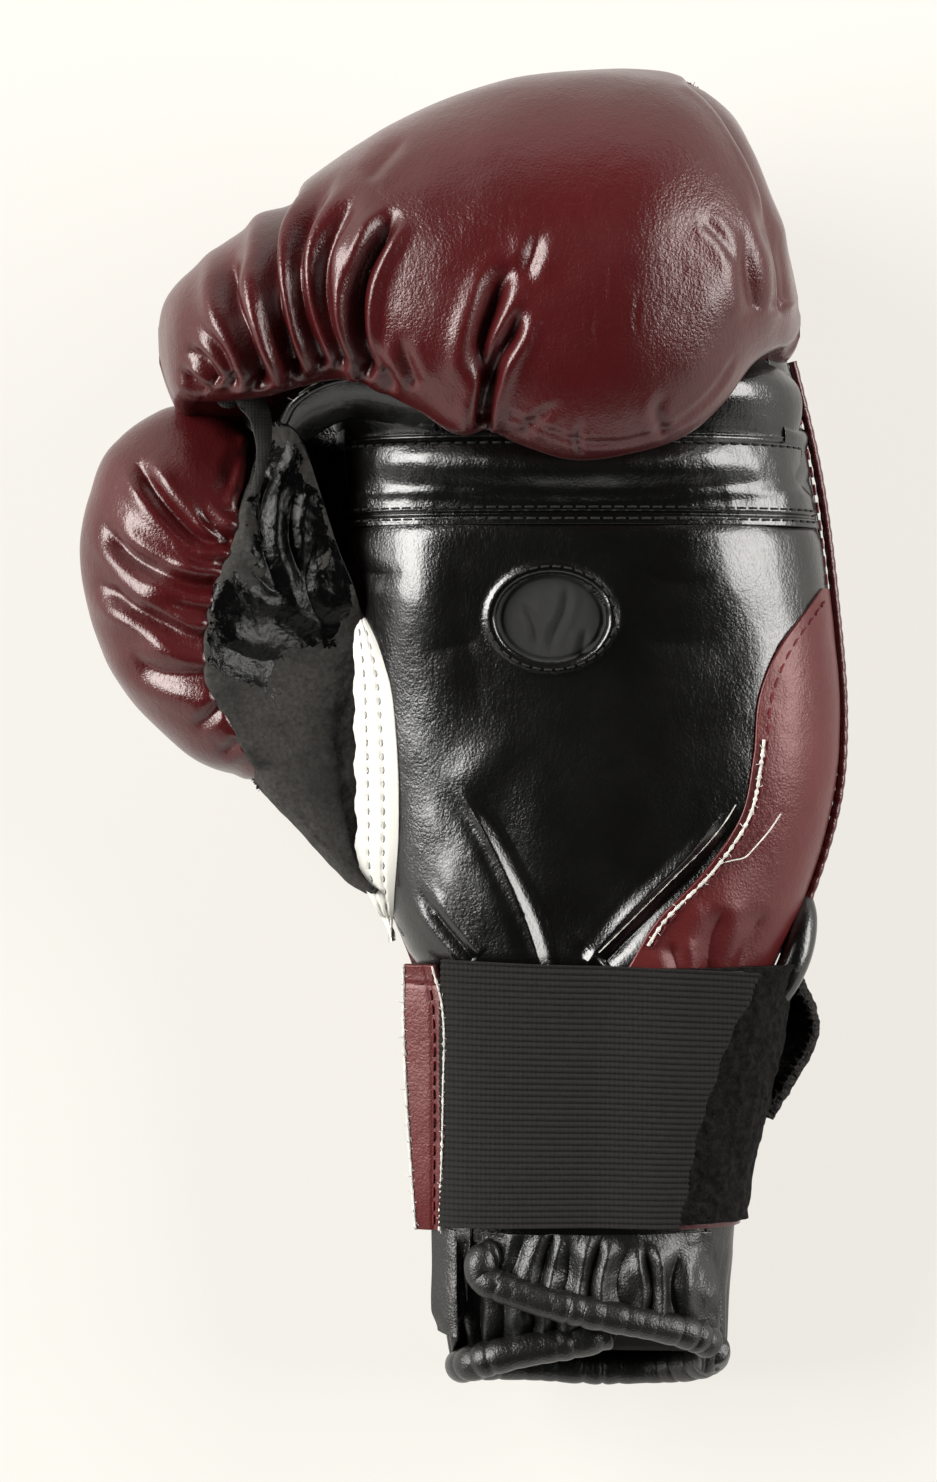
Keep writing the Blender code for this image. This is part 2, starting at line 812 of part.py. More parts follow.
# ---------------------------------------------------------------- the wrist strap


def flare(angle):
    """How far the strap stands off the cuff on the little-finger side."""
    if angle > math.pi:
        angle -= 2 * math.pi
    return 3.6 * ease(1 - abs(angle - 0.1) / 0.9)


def layer(start, rise=None):
    """A depth function: a distance from the cuff, plus the flare and any rise of its own."""
    return lambda y, angle: start + flare(angle) + (rise(angle) if rise else 0.0)


strap_ys = spread(STRAP_END_Y, STRAP_TOP_Y, 4)
wrist_strap = wrap(
    "wrist_strap",
    maroon,
    strap_ys,
    lambda y: angle_at_x(y, STRAP_SEAM_X - 0.6),
    lambda y: 2 * math.pi + angle_at_x(y, 48.0),
    layer(GAP + WEBBING),
    layer(GAP),
    30,
)
loop_patch = wrap(
    "loop_patch",
    fuzz,
    spread(STRAP_END_Y + 1, STRAP_TOP_Y - 1, 4),
    lambda y: angle_at_z(y, 28.0, 1),
    lambda y: angle_at_x(y, 49.0),
    layer(3.2),
    layer(2.0),
    10,
)

ELASTIC_RIGHT = ((STRAP_END_Y, 51.0), (-96.0, 53.0), (-78.0, 59.0), (-66.0, 61.0), (STRAP_TOP_Y, 65.5))
elastic_right = border(ELASTIC_RIGHT)


def climb(angle):
    """The band's rise over the strap's end and the two fastening patches."""
    return 4.2 * ease((1.60 - angle) / 0.42)


elastic_band = wrap(
    "elastic_band",
    elastic,
    strap_ys,
    lambda y: angle_at_x(y, elastic_right(y)),
    lambda y: angle_at_x(y, STRAP_SEAM_X),
    layer(0.6 + WEBBING, climb),
    layer(0.6, climb),
    20,
)
hook_patch = wrap(
    "hook_patch",
    hooks,
    spread(STRAP_END_Y + 2, STRAP_TOP_Y - 2, 6),
    lambda y: angle_at_x(y, elastic_right(y) - 1.0),
    lambda y: angle_at_x(y, 49.6),
    layer(4.5),
    layer(3.5),
    6,
)


def tail_grid(above):
    """The far corner of the loop patch, which stands out beside the cuff."""
    rows = []
    for y in spread(-84.0, -42.0, 8):
        share = (y + 84.0) / 42.0
        right = along(TRUNK, y)[1] + 3.6 + 2.6
        out = 7.5 * math.sin(math.pi * (0.12 + 0.76 * share)) ** 0.7
        row = []
        for across in spread(0, 1, 4):
            x = right + out * across
            row.append((x, y, 15.0 + 12.0 * across + 2.0 * math.sin(2 * share * math.pi) + above))
        rows.append(row)
    return rows


loop_flap = sheet("loop_flap", tail_grid(1.4), tail_grid(0.0), fuzz)


# ---------------------------------------------------------------- joints


def pivot(name, place, *things):
    """An empty on a joint's axis, carrying the pieces that turn about it."""
    empty = bpy.data.objects.new(name, None)
    empty.location = Vector(place) * MM
    bpy.context.scene.collection.objects.link(empty)
    bpy.context.view_layer.update()
    for thing in things:
        thing.parent = empty
        thing.matrix_parent_inverse = empty.matrix_world.inverted()
    return empty


middle_y = (STRAP_TOP_Y + STRAP_END_Y) / 2
seam_point = trunk_point(middle_y, angle_at_x(middle_y, STRAP_SEAM_X), 0.6 + WEBBING)
flap_seam_point = trunk_point(-126.0, angle_at_x(-126.0, FLAP_EDGE[-1][0]), 0.0)
pivot("thumb_pivot", THUMB_PIVOT, thumb_leather, thumb_padding, thumb_gusset, thumb_tether)
pivot("closure_pivot", seam_point, elastic_band, hook_patch)
pivot("flap_pivot", flap_seam_point, cuff_flap, flap_binding)
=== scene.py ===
"""The look of the boxing glove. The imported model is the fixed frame: the leather, padding, strap and
stitching are modelled here and ride on its bodies. All sizes are in millimetres until a mesh is made."""

import math

import bpy
import numpy as np
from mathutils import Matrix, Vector, noise


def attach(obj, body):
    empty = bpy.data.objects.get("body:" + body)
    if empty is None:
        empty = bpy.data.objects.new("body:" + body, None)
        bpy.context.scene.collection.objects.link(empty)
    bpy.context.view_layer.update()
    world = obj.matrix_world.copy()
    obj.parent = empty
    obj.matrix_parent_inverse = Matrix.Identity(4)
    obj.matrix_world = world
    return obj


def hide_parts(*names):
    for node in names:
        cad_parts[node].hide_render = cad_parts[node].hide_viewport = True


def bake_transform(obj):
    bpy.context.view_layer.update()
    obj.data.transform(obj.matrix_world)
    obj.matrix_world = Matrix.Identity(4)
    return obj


MM = 0.001

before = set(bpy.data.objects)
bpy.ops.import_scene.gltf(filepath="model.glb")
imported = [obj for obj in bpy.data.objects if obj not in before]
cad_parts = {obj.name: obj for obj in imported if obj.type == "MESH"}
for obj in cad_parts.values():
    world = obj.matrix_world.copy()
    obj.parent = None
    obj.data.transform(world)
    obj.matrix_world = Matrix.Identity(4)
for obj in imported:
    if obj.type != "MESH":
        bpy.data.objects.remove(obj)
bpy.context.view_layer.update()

# The camera looks straight down from this height over this point. Seams and creases are laid out on the
# plan that it sees at the height of the palm.
EYE = (1.0, -2.3, 1150.0)
PLAN_Z = 50.0
FINE = 1.0


# ---------------------------------------------------------------- helpers


def spread(first, last, count):
    return np.linspace(first, last, count)


def finely(first, last, count):
    return spread(first, last, int(count * FINE))


def shares(count):
    """Shares from 0 to 1 of the way across, as a row."""
    return finely(0, 1, count)[None, :]


def ease(t):
    t = np.clip(t, 0.0, 1.0)
    return t * t * (3 - 2 * t)


def hump(x, middle, width):
    """A smooth bell of height 1."""
    return np.exp(-(((x - middle) / width) ** 2))


def between(first, last, columns):
    """Values that run from one edge to the other, one row for each pair of edge values."""
    share = spread(0, 1, columns)[None, :]
    return np.asarray(first)[:, None] * (1 - share) + np.asarray(last)[:, None] * share


def along(table, key):
    """The other columns of a table at values of its first, on a smooth curve through its rows."""
    rows = np.array(table, float)
    keys, values = rows[:, 0], rows[:, 1:]
    key = np.clip(np.asarray(key, float), keys[0], keys[-1])
    i = np.clip(np.searchsorted(keys, key, side="right") - 1, 0, len(keys) - 2)
    slopes = np.diff(values, axis=0) / np.diff(keys)[:, None]
    before = slopes[np.maximum(i - 1, 0)]
    here = slopes[i]
    after = slopes[np.minimum(i + 1, len(slopes) - 1)]
    span = (keys[i + 1] - keys[i])[..., None]
    t = (key - keys[i])[..., None] / span
    return (
        values[i] * (2 * t**3 - 3 * t**2 + 1)
        + 0.5 * (before + here) * span * (t**3 - 2 * t**2 + t)
        + values[i + 1] * (3 * t**2 - 2 * t**3)
        + 0.5 * (here + after) * span * (t**3 - t**2)
    )


def lengths(line):
    """How far along a line of points each one is."""
    return np.concatenate([[0], np.cumsum(np.linalg.norm(np.diff(line, axis=0), axis=1))])


def curve(points, count):
    """Points evenly spaced on a smooth curve through some points."""
    knots = np.array(points, float)
    run = lengths(knots)
    fine = along(np.column_stack([run, knots]), spread(0, run[-1], 200))
    run = lengths(fine)
    at = spread(0, run[-1], count)
    return np.column_stack([np.interp(at, run, fine[:, k]) for k in range(fine.shape[1])])


def plan(points):
    """Where points appear on the plan."""
    scale = (EYE[2] - PLAN_Z) / (EYE[2] - points[..., 2])
    return np.stack([EYE[k] + (points[..., k] - EYE[k]) * scale for k in (0, 1)], axis=-1)


def unplan(x, y, z):
    """The point at a height that appears at a place on the plan."""
    scale = (EYE[2] - z) / (EYE[2] - PLAN_Z)
    return np.stack([EYE[0] + (x - EYE[0]) * scale, EYE[1] + (y - EYE[1]) * scale, z], axis=-1)


def normals(grid, wrap=False):
    """Unit normals of a grid of points. wrap says that its second direction is closed."""
    down = np.gradient(grid, axis=0)
    if wrap:
        ring = np.concatenate([grid[:, -1:], grid, grid[:, :1]], axis=1)
        across = np.gradient(ring, axis=1)[:, 1:-1]
    else:
        across = np.gradient(grid, axis=1)
    normal = np.cross(across, down)
    return normal / np.maximum(np.linalg.norm(normal, axis=-1, keepdims=True), 1e-9)


def ring_normals(grid):
    """Normals of a closed form, which face up at the top of its middle ring."""
    normal, half = normals(grid, True), len(grid) // 2
    return -normal if normal[half, np.argmax(grid[half, :, 2]), 2] < 0 else normal


def downward(grid):
    """Normals of a patch that faces down at its middle."""
    normal = normals(grid)
    return -normal if normal[len(grid) // 2, grid.shape[1] // 2, 2] > 0 else normal


def to_line(spots, line):
    """The distance of plan points from a line of points, and how far along it they are, 0 to 1."""
    line = np.asarray(line, float)
    best = np.full(spots.shape[:-1], 1e9)
    where = np.zeros(spots.shape[:-1])
    run = lengths(line)
    for i in range(len(line) - 1):
        way = line[i + 1] - line[i]
        t = np.clip(((spots - line[i]) @ way) / max(way @ way, 1e-9), 0, 1)
        gap = np.linalg.norm(spots - line[i] - t[..., None] * way, axis=-1)
        closer = gap < best
        best = np.where(closer, gap, best)
        where = np.where(closer, (run[i] + t * (run[i + 1] - run[i])) / run[-1], where)
    return best, where


def crease(spots, points, depth, width, start=0.15, end=0.5, lip=0.35):
    """The height of a crease at plan points: a sharp valley between two soft lips, fading at its ends."""
    away, share = to_line(spots, curve(points, 24))
    fade = ease(share / max(start, 1e-3)) * ease((1 - share) / max(end, 1e-3))
    valley = np.exp(-((away / width) ** 1.3))
    shoulder = np.exp(-(((away - 2.2 * width) / (1.3 * width)) ** 2))
    return depth * fade * (lip * shoulder - valley)


def bump(spots, x, y, rx, ry, height, turn=0.0):
    """The height of an oval swelling at plan points."""
    c, s = math.cos(math.radians(turn)), math.sin(math.radians(turn))
    dx, dy = spots[..., 0] - x, spots[..., 1] - y
    u, v = (dx * c + dy * s) / rx, (-dx * s + dy * c) / ry
    return height * np.exp(-(u * u + v * v))


def rough(grid, size, height, seed=0):
    """Smooth noise at the points of a grid: its grain in millimetres and its height."""
    flat = grid.reshape(-1, 3) / size + np.array([seed * 17.3, seed * 5.1, seed * 9.7])
    values = [noise.noise(Vector(p)) for p in flat]
    return height * np.array(values).reshape(grid.shape[:-1])


def surface(x, y, z):
    """A grid of points from its coordinates, each a grid, a row or a column."""
    return np.stack(np.broadcast_arrays(x, y, z), axis=-1)


def moved(grid, normal, height):
    return grid + normal * height[..., None]


# ---------------------------------------------------------------- meshes


def piece(name, points, faces, material, body):
    """A mesh object that rides on a body. points are in millimetres."""
    mesh = bpy.data.meshes.new(name)
    mesh.from_pydata((np.asarray(points) * MM).tolist(), [], faces)
    mesh.validate()
    mesh.update()
    mesh.shade_smooth()
    mesh.materials.append(material)
    thing = bpy.data.objects.new(name, mesh)
    bpy.context.scene.collection.objects.link(thing)
    if body:
        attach(thing, body)
    return thing


def quads(rows, columns, wrap=False, flip=False, start=0):
    """Faces of a grid."""
    last = columns if wrap else columns - 1
    i, j = np.meshgrid(np.arange(rows - 1), np.arange(last), indexing="ij")
    k = (j + 1) % columns
    faces = np.stack([i * columns + j, i * columns + k, (i + 1) * columns + k, (i + 1) * columns + j], -1)
    faces = faces.reshape(-1, 4) + start
    return (faces[:, ::-1] if flip else faces).tolist()


def closed(name, grid, material, body):
    """A closed skin: a grid whose rows are rings, with a point at each end."""
    rows, columns = grid.shape[:2]
    points = np.concatenate([grid.reshape(-1, 3), [grid[0].mean(0)], [grid[-1].mean(0)]])
    faces = quads(rows, columns, wrap=True)
    first, last = rows * columns, rows * columns + 1
    for j in range(columns):
        k = (j + 1) % columns
        faces.append([first, k, j])
        faces.append([last, (rows - 1) * columns + j, (rows - 1) * columns + k])
    return facing_out(piece(name, points, faces, material, body))


def slab(name, top, thick, material, body, wrap=False, normal=None):
    """A skin with thickness under a grid, its rim rounded over."""
    rows, columns = top.shape[:2]
    normal = normals(top, wrap) if normal is None else normal
    low = top - normal * thick
    points = np.concatenate([top.reshape(-1, 3), low.reshape(-1, 3)])
    size = rows * columns
    faces = quads(rows, columns, wrap) + quads(rows, columns, wrap, True, size)
    rims = []
    if wrap:
        rims = [[j for j in range(columns)] + [0]]
        rims += [[(rows - 1) * columns + j for j in range(columns - 1, -1, -1)] + [rows * columns - 1]]
    else:
        rim = list(range(columns)) + [i * columns + columns - 1 for i in range(1, rows)]
        rim += [(rows - 1) * columns + j for j in range(columns - 2, -1, -1)]
        rim += [i * columns for i in range(rows - 2, -1, -1)]
        rims = [rim]
    for rim in rims:
        for a, b in zip(rim, rim[1:]):
            faces.append([b, a, size + a, size + b])
    return facing_out(piece(name, points, faces, material, body))


def facing_out(thing):
    """Turns a closed mesh's faces outward."""
    mesh = thing.data
    count = len(mesh.vertices)
    spots = np.empty(count * 3)
    mesh.vertices.foreach_get("co", spots)
    spots = spots.reshape(-1, 3)
    mesh.calc_loop_triangles()
    corners = np.empty(len(mesh.loop_triangles) * 3, int)
    mesh.loop_triangles.foreach_get("vertices", corners)
    a, b, c = (spots[corners.reshape(-1, 3)[:, k]] for k in range(3))
    if np.einsum("ij,ij->", a, np.cross(b, c)) < 0:
        mesh.flip_normals()
    return thing


def rope(name, path, radius, material, body, sides=8, flat=1.0):
    """A tube along points, round or flattened, with one radius or one at each point."""
    path = np.asarray(path, float)
    way = np.gradient(path, axis=0)
    way /= np.linalg.norm(way, axis=1)[:, None]
    across = np.cross(way, (0.0, 0.0, 1.0))
    across /= np.maximum(np.linalg.norm(across, axis=1)[:, None], 1e-6)
    rise = np.cross(across, way)
    turn = spread(0, 2 * math.pi, sides + 1)[:-1]
    radius = np.broadcast_to(radius, len(path))
    grid = (
        path[:, None]
        + across[:, None] * (np.cos(turn)[None, :, None] * radius[:, None, None])
        + rise[:, None] * (np.sin(turn)[None, :, None] * radius[:, None, None] * flat)
    )
    if name is None:
        return grid
    return closed(name, grid, material, body)


def bundle(name, grids, material, body):
    """Many small closed tubes as one piece."""
    points, faces, start = [], [], 0
    for grid in grids:
        rows, columns = grid.shape[:2]
        points.append(grid.reshape(-1, 3))
        points.append([grid[0].mean(0), grid[-1].mean(0)])
        faces += quads(rows, columns, wrap=True, start=start, flip=True)
        first, last = start + rows * columns, start + rows * columns + 1
        for j in range(columns):
            k = (j + 1) % columns
            faces.append([first, start + j, start + k])
            faces.append([last, start + (rows - 1) * columns + k, start + (rows - 1) * columns + j])
        start = last + 1
    return piece(name, np.concatenate(points), faces, material, body)


def stitches(lines, lift=0.15, length=2.2, gap=1.0, radius=0.32):
    """Stitch tubes along lines that are already on a surface: each goes in at its ends."""
    made = []
    for line in lines:
        line = np.asarray(line, float)
        run = lengths(line)
        at = 0.4
        while at + length < run[-1]:
            share = spread(0, 1, 6)
            spot = at + share * length
            path = np.column_stack([np.interp(spot, run, line[:, k]) for k in range(3)])
            path[:, 2] += lift + 0.28 * np.sin(math.pi * share) - 0.25
            made.append(rope(None, path, radius, None, None, 5))
            at += length + gap
    return made


def raw_edge(name, path, radius, body, seed=1, hairs=0, length=1.6, material=None):
    """A cut edge's pale core: an uneven cord along the edge, with loose fibres standing off it."""
    path = np.asarray(path, float)
    count = len(path)
    wobble = np.array([noise.noise(Vector((k * 0.35, seed, 0))) for k in range(count)])
    made = [rope(None, path + [0, 0, 0.1], radius * (1 + 1.1 * wobble), None, None, 6)]
    for k in range(hairs):
        start = path[int((k + 0.5) / hairs * (count - 1))]
        turn = 2.4 * k + seed
        reach = length * (0.5 + 0.5 * math.sin(k * 1.7 + seed) ** 2)
        tip = start + [reach * math.cos(turn), reach * math.sin(turn), 0.3]
        middle = (start + tip) / 2 + [0.2, -0.2, 0.35]
        made.append(rope(None, curve([start, middle, tip], 6), 0.07, None, None, 4))
    return bundle(name, made, material or RAW, body)


# ---------------------------------------------------------------- materials


class Paint:
    """A material under construction, with short names for its nodes."""

    def __init__(self, name, colour, roughness, **more):
        self.material = bpy.data.materials.new(name)
        self.material.use_nodes = True
        self.tree = self.material.node_tree
        self.surface = self.tree.nodes["Principled BSDF"]
        self.surface.inputs["Base Color"].default_value = (*colour, 1)
        self.surface.inputs["Roughness"].default_value = roughness
        for key, value in more.items():
            self.surface.inputs[key.replace("_", " ")].default_value = value
        self.place = self.add("ShaderNodeTexCoord").outputs["Object"]
        self.last_bump = None

    def add(self, kind, **settings):
        node = self.tree.nodes.new(kind)
        for key, value in settings.items():
            if key in node.bl_rna.properties:
                setattr(node, key, value)
            else:
                node.inputs[key.replace("_", " ")].default_value = value
        return node

    def link(self, a, b):
        self.tree.links.new(a, b)

    def stretched(self, scale):
        mapping = self.add("ShaderNodeMapping")
        mapping.inputs["Scale"].default_value = scale
        self.link(self.place, mapping.inputs["Vector"])
        return mapping.outputs["Vector"]

    def noise(self, scale, detail=3.0, rough=0.55, place=None):
        node = self.add("ShaderNodeTexNoise", Scale=scale, Detail=detail, Roughness=rough)
        self.link(place or self.place, node.inputs["Vector"])
        return node.outputs["Fac"]

    def cells(self, scale):
        node = self.add("ShaderNodeTexVoronoi", feature="DISTANCE_TO_EDGE", Scale=scale, Randomness=1.0)
        self.link(self.place, node.inputs["Vector"])
        return node.outputs["Distance"]

    def wave(self, scale, direction, distortion):
        node = self.add(
            "ShaderNodeTexWave", bands_direction=direction, Scale=scale, Distortion=distortion, Detail=1.0
        )
        self.link(self.place, node.inputs["Vector"])
        return node.outputs["Fac"]

    def ramp(self, value, low, high, first, last):
        """Maps a value between two levels to a range of numbers."""
        node = self.add("ShaderNodeMapRange")
        node.inputs["From Min"].default_value = low
        node.inputs["From Max"].default_value = high
        node.inputs["To Min"].default_value = first
        node.inputs["To Max"].default_value = last
        self.link(value, node.inputs["Value"])
        return node.outputs["Result"]

    def mix(self, amount, first, last):
        """Mixes two colours, each a tuple or a socket."""
        node = self.add("ShaderNodeMix", data_type="RGBA")
        self.link(amount, node.inputs["Factor"])
        for colour, name in ((first, "A"), (last, "B")):
            socket = [s for s in node.inputs if s.name == name and s.type == "RGBA"][0]
            if isinstance(colour, tuple):
                socket.default_value = (*colour, 1)
            else:
                self.link(colour, socket)
        return [s for s in node.outputs if s.type == "RGBA"][0]

    def maths(self, operation, a, b):
        node = self.add("ShaderNodeMath", operation=operation)
        self.link(a, node.inputs[0])
        self.link(b, node.inputs[1])
        return node.outputs[0]

    def colour(self, socket):
        self.link(socket, self.surface.inputs["Base Color"])

    def roughness(self, socket):
        self.link(socket, self.surface.inputs["Roughness"])

    def bumps(self, height, strength, depth):
        node = self.add("ShaderNodeBump", Strength=strength, Distance=depth)
        self.link(height, node.inputs["Height"])
        if self.last_bump is not None:
            self.link(self.last_bump, node.inputs["Normal"])
        self.last_bump = node.outputs["Normal"]
        self.link(self.last_bump, self.surface.inputs["Normal"])


def leather(name, colour, deep, roughness, grain=1.0, coat=0.5, scuff=(0.2, 0.2, 0.2), tint=(1, 1, 1)):
    """Coated leather: a pebbled grain, finer wrinkles, uneven gloss and a few scuffs."""
    paint = Paint(
        name, colour, roughness, Coat_Weight=coat, Coat_Roughness=0.12, IOR=1.5, Specular_Tint=(*tint, 1),
    )
    pebbles = paint.cells(1050)
    wrinkles = paint.noise(1.0, 5.0, 0.6, paint.stretched((640, 330, 400)))
    paint.bumps(paint.ramp(pebbles, 0.0, 0.32, 0.0, 1.0), 0.14 * grain, 0.00022)
    paint.bumps(wrinkles, 0.34 * grain, 0.0004)
    paint.bumps(paint.noise(90, 4.0, 0.5), 0.25 * grain, 0.0010)
    shade = paint.mix(paint.ramp(paint.noise(28, 4.0), 0.35, 0.7, 0.0, 1.0), colour, deep)
    marks = paint.ramp(paint.noise(150, 8.0, 0.72), 0.67, 0.74, 0.0, 0.5)
    paint.colour(paint.mix(marks, shade, scuff))
    paint.roughness(paint.ramp(paint.noise(36, 5.0, 0.6), 0.3, 0.7, roughness - 0.05, roughness + 0.08))
    return paint.material


def cloth(name, colour, other, roughness, scale, sheen=0.3):
    """Woven cloth: two crossing sets of threads."""
    paint = Paint(name, colour, roughness, Sheen_Weight=0.2 * sheen, Specular_IOR_Level=0.25)
    threads = paint.maths(
        "MULTIPLY", paint.wave(scale, "X", 0.6), paint.wave(scale, "Y", 0.6)
    )
    paint.bumps(threads, 0.5, 0.0003)
    paint.colour(paint.mix(paint.ramp(paint.noise(300, 5.0), 0.35, 0.65, 0.0, 1.0), colour, other))
    return paint.material


PINK = (1.0, 0.70, 0.68)
MAROON = leather(
    "maroon_leather", (0.050, 0.0044, 0.0052), (0.038, 0.0031, 0.0036), 0.28, 1.2, 0.12, (0.09, 0.03, 0.03),
    (1.0, 0.90, 0.89),
)
PANEL = leather(
    "maroon_panel", (0.070, 0.0080, 0.0085), (0.056, 0.0062, 0.0066), 0.36, 0.9, 0.02, (0.09, 0.02, 0.02),
    PINK,
)
BLACK = leather(
    "black_leather", (0.0024, 0.0023, 0.0021), (0.0015, 0.0015, 0.0014), 0.235, 1.0, 0.40,
    (0.010, 0.010, 0.009),
)
SOFT = leather(
    "soft_black_leather", (0.0050, 0.0048, 0.0045), (0.0032, 0.0031, 0.0030), 0.36, 1.6, 0.02,
    (0.012, 0.012, 0.011),
)
WHITE = leather("white_leather", (0.68, 0.67, 0.62), (0.60, 0.59, 0.545), 0.45, 0.35, 0.1, (0.55, 0.53, 0.50))
RAW = cloth("raw_edge", (0.70, 0.68, 0.63), (0.45, 0.43, 0.40), 0.85, 1500, 0.4)
THREAD_RED = cloth("red_thread", (0.13, 0.010, 0.015), (0.09, 0.007, 0.010), 0.6, 900)
THREAD_BLACK = cloth("black_thread", (0.004, 0.004, 0.004), (0.006, 0.006, 0.006), 0.6, 900)
THREAD_GREY = cloth("grey_thread", (0.50, 0.49, 0.46), (0.40, 0.39, 0.37), 0.7, 900)


# ---------------------------------------------------------------- forms

# The trunk: y, left x, right x, lowest z, highest z, power of the oval.
TRUNK = (
    (-151.0, -2.5, 60.0, 12.0, 47.0, 2.4),
    (-135.0, -5.0, 61.5, 11.0, 51.0, 2.4),
    (-118.0, -7.2, 62.3, 10.0, 54.6, 2.4),
    (-90.0, -8.9, 65.8, 8.6, 57.0, 2.45),
    (-58.0, -11.0, 70.5, 7.0, 59.6, 2.5),
    (-40.0, -17.6, 78.4, 5.0, 61.0, 2.6),
    (-16.0, -21.6, 85.6, 3.0, 62.5, 2.7),
    (2.0, -24.8, 87.0, 1.2, 63.5, 2.7),
    (32.0, -28.0, 84.8, 0.0, 65.0, 2.7),
    (60.0, -30.0, 81.0, 0.0, 66.0, 2.6),
    (90.0, -30.0, 74.0, 3.0, 66.0, 2.4),
)


def power(value, exponent):
    return np.sign(value) * np.abs(value) ** exponent


def trunk_point(y, angle, grow=0.0, palm=None, back=None):
    """A point of the sleeve from cuff to knuckles: angle 0 is the right, a quarter turn the palm.
    palm and back are powers of the oval on each side, where they differ from the table's."""
    y, angle, grow = np.broadcast_arrays(np.asarray(y, float), angle, grow)
    left, right, low, high, exponent = np.moveaxis(along(TRUNK, y), -1, 0)
    if palm is not None:
        exponent = np.where(np.sin(angle) > 0, palm, back)
    x = (left + right) / 2 + ((right - left) / 2 + grow) * power(np.cos(angle), 2 / exponent)
    z = (low + high) / 2 + ((high - low) / 2 + grow) * power(np.sin(angle), 2 / exponent)
    return np.stack([x, y, z], axis=-1)


def angle_at_x(y, x):
    left, right, _, _, exponent = np.moveaxis(along(TRUNK, y), -1, 0)
    share = np.clip((x - (left + right) / 2) / ((right - left) / 2), -0.999, 0.999)
    return np.arccos(power(share, exponent / 2))


def angle_at_z(y, z, side):
    _, _, low, high, exponent = np.moveaxis(along(TRUNK, y), -1, 0)
    share = np.clip((z - (low + high) / 2) / ((high - low) / 2), -0.99, 0.99)
    angle = np.arcsin(power(share, exponent / 2))
    return angle if side > 0 else math.pi - angle


def trunk_patch(ys, first, last, columns, grow=0.0):
    """A grid on the trunk between two edges, given as angles at each y."""
    return trunk_point(np.asarray(ys, float)[:, None], between(first, last, columns), grow)


def relief(name, grid, height, thick, material, body="glove"):
    """The skin of a patch that faces up, with its relief, and the patch's grid."""
    normal = upward(grid)
    grid = moved(grid, normal, height)
    return grid, slab(name, grid, thick, material, body, normal=normal)


# The fist: x, front y, lip y, lowest z, highest z, depth of the tuck under the lip.
FIST = (
    (-70.0, 92.5, 86.5, 51.0, 54.0, 0.0),
    (-69.0, 96.5, 82.5, 44.0, 60.0, 0.0),
    (-66.5, 101.0, 76.5, 32.0, 71.0, 0.0),
    (-60.0, 107.5, 74.5, 19.0, 80.0, 0.1),
    (-46.0, 117.5, 75.0, 8.0, 90.0, 0.4),
    (-36.0, 126.0, 77.5, 4.0, 95.0, 0.7),
    (-24.0, 134.5, 78.5, 2.5, 100.5, 0.9),
    (-10.0, 142.5, 72.5, 1.0, 104.5, 1.0),
    (0.0, 146.5, 66.5, 0.5, 106.5, 1.0),
    (5.0, 148.0, 67.5, 0.4, 107.0, 1.0),
    (12.0, 149.6, 64.0, 0.3, 107.8, 1.0),
    (24.0, 151.2, 60.5, 0.3, 108.0, 1.0),
    (38.0, 151.6, 62.0, 1.0, 107.5, 1.0),
    (50.0, 149.5, 66.5, 4.0, 103.5, 0.9),
    (58.0, 144.0, 74.0, 7.0, 98.0, 0.7),
    (64.0, 136.0, 82.0, 11.0, 92.0, 0.5),
    (70.0, 120.0, 86.0, 20.0, 82.0, 0.2),
    (74.0, 106.0, 88.0, 32.0, 70.0, 0.0),
    (76.0, 98.0, 90.5, 44.0, 60.0, 0.0),
    (76.8, 95.5, 93.0, 51.0, 54.0, 0.0),
)

# The thumb: x and y of the section's centre, half its width, half its height.
THUMB = (
    (-21.0, -34.0, 2.5, 5.0),
    (-24.5, -27.0, 5.0, 9.0),
    (-31.0, -16.0, 8.5, 14.0),
    (-41.0, -1.0, 14.5, 21.0),
    (-50.5, 9.5, 20.5, 24.0),
    (-57.5, 24.0, 26.0, 25.0),
    (-61.0, 42.0, 27.5, 24.8),
    (-61.8, 55.5, 23.5, 22.0),
    (-61.4, 65.0, 18.0, 17.0),
    (-60.8, 71.5, 10.5, 11.0),
    (-60.4, 74.3, 4.0, 5.0),
)
THUMB_Z = 36.0


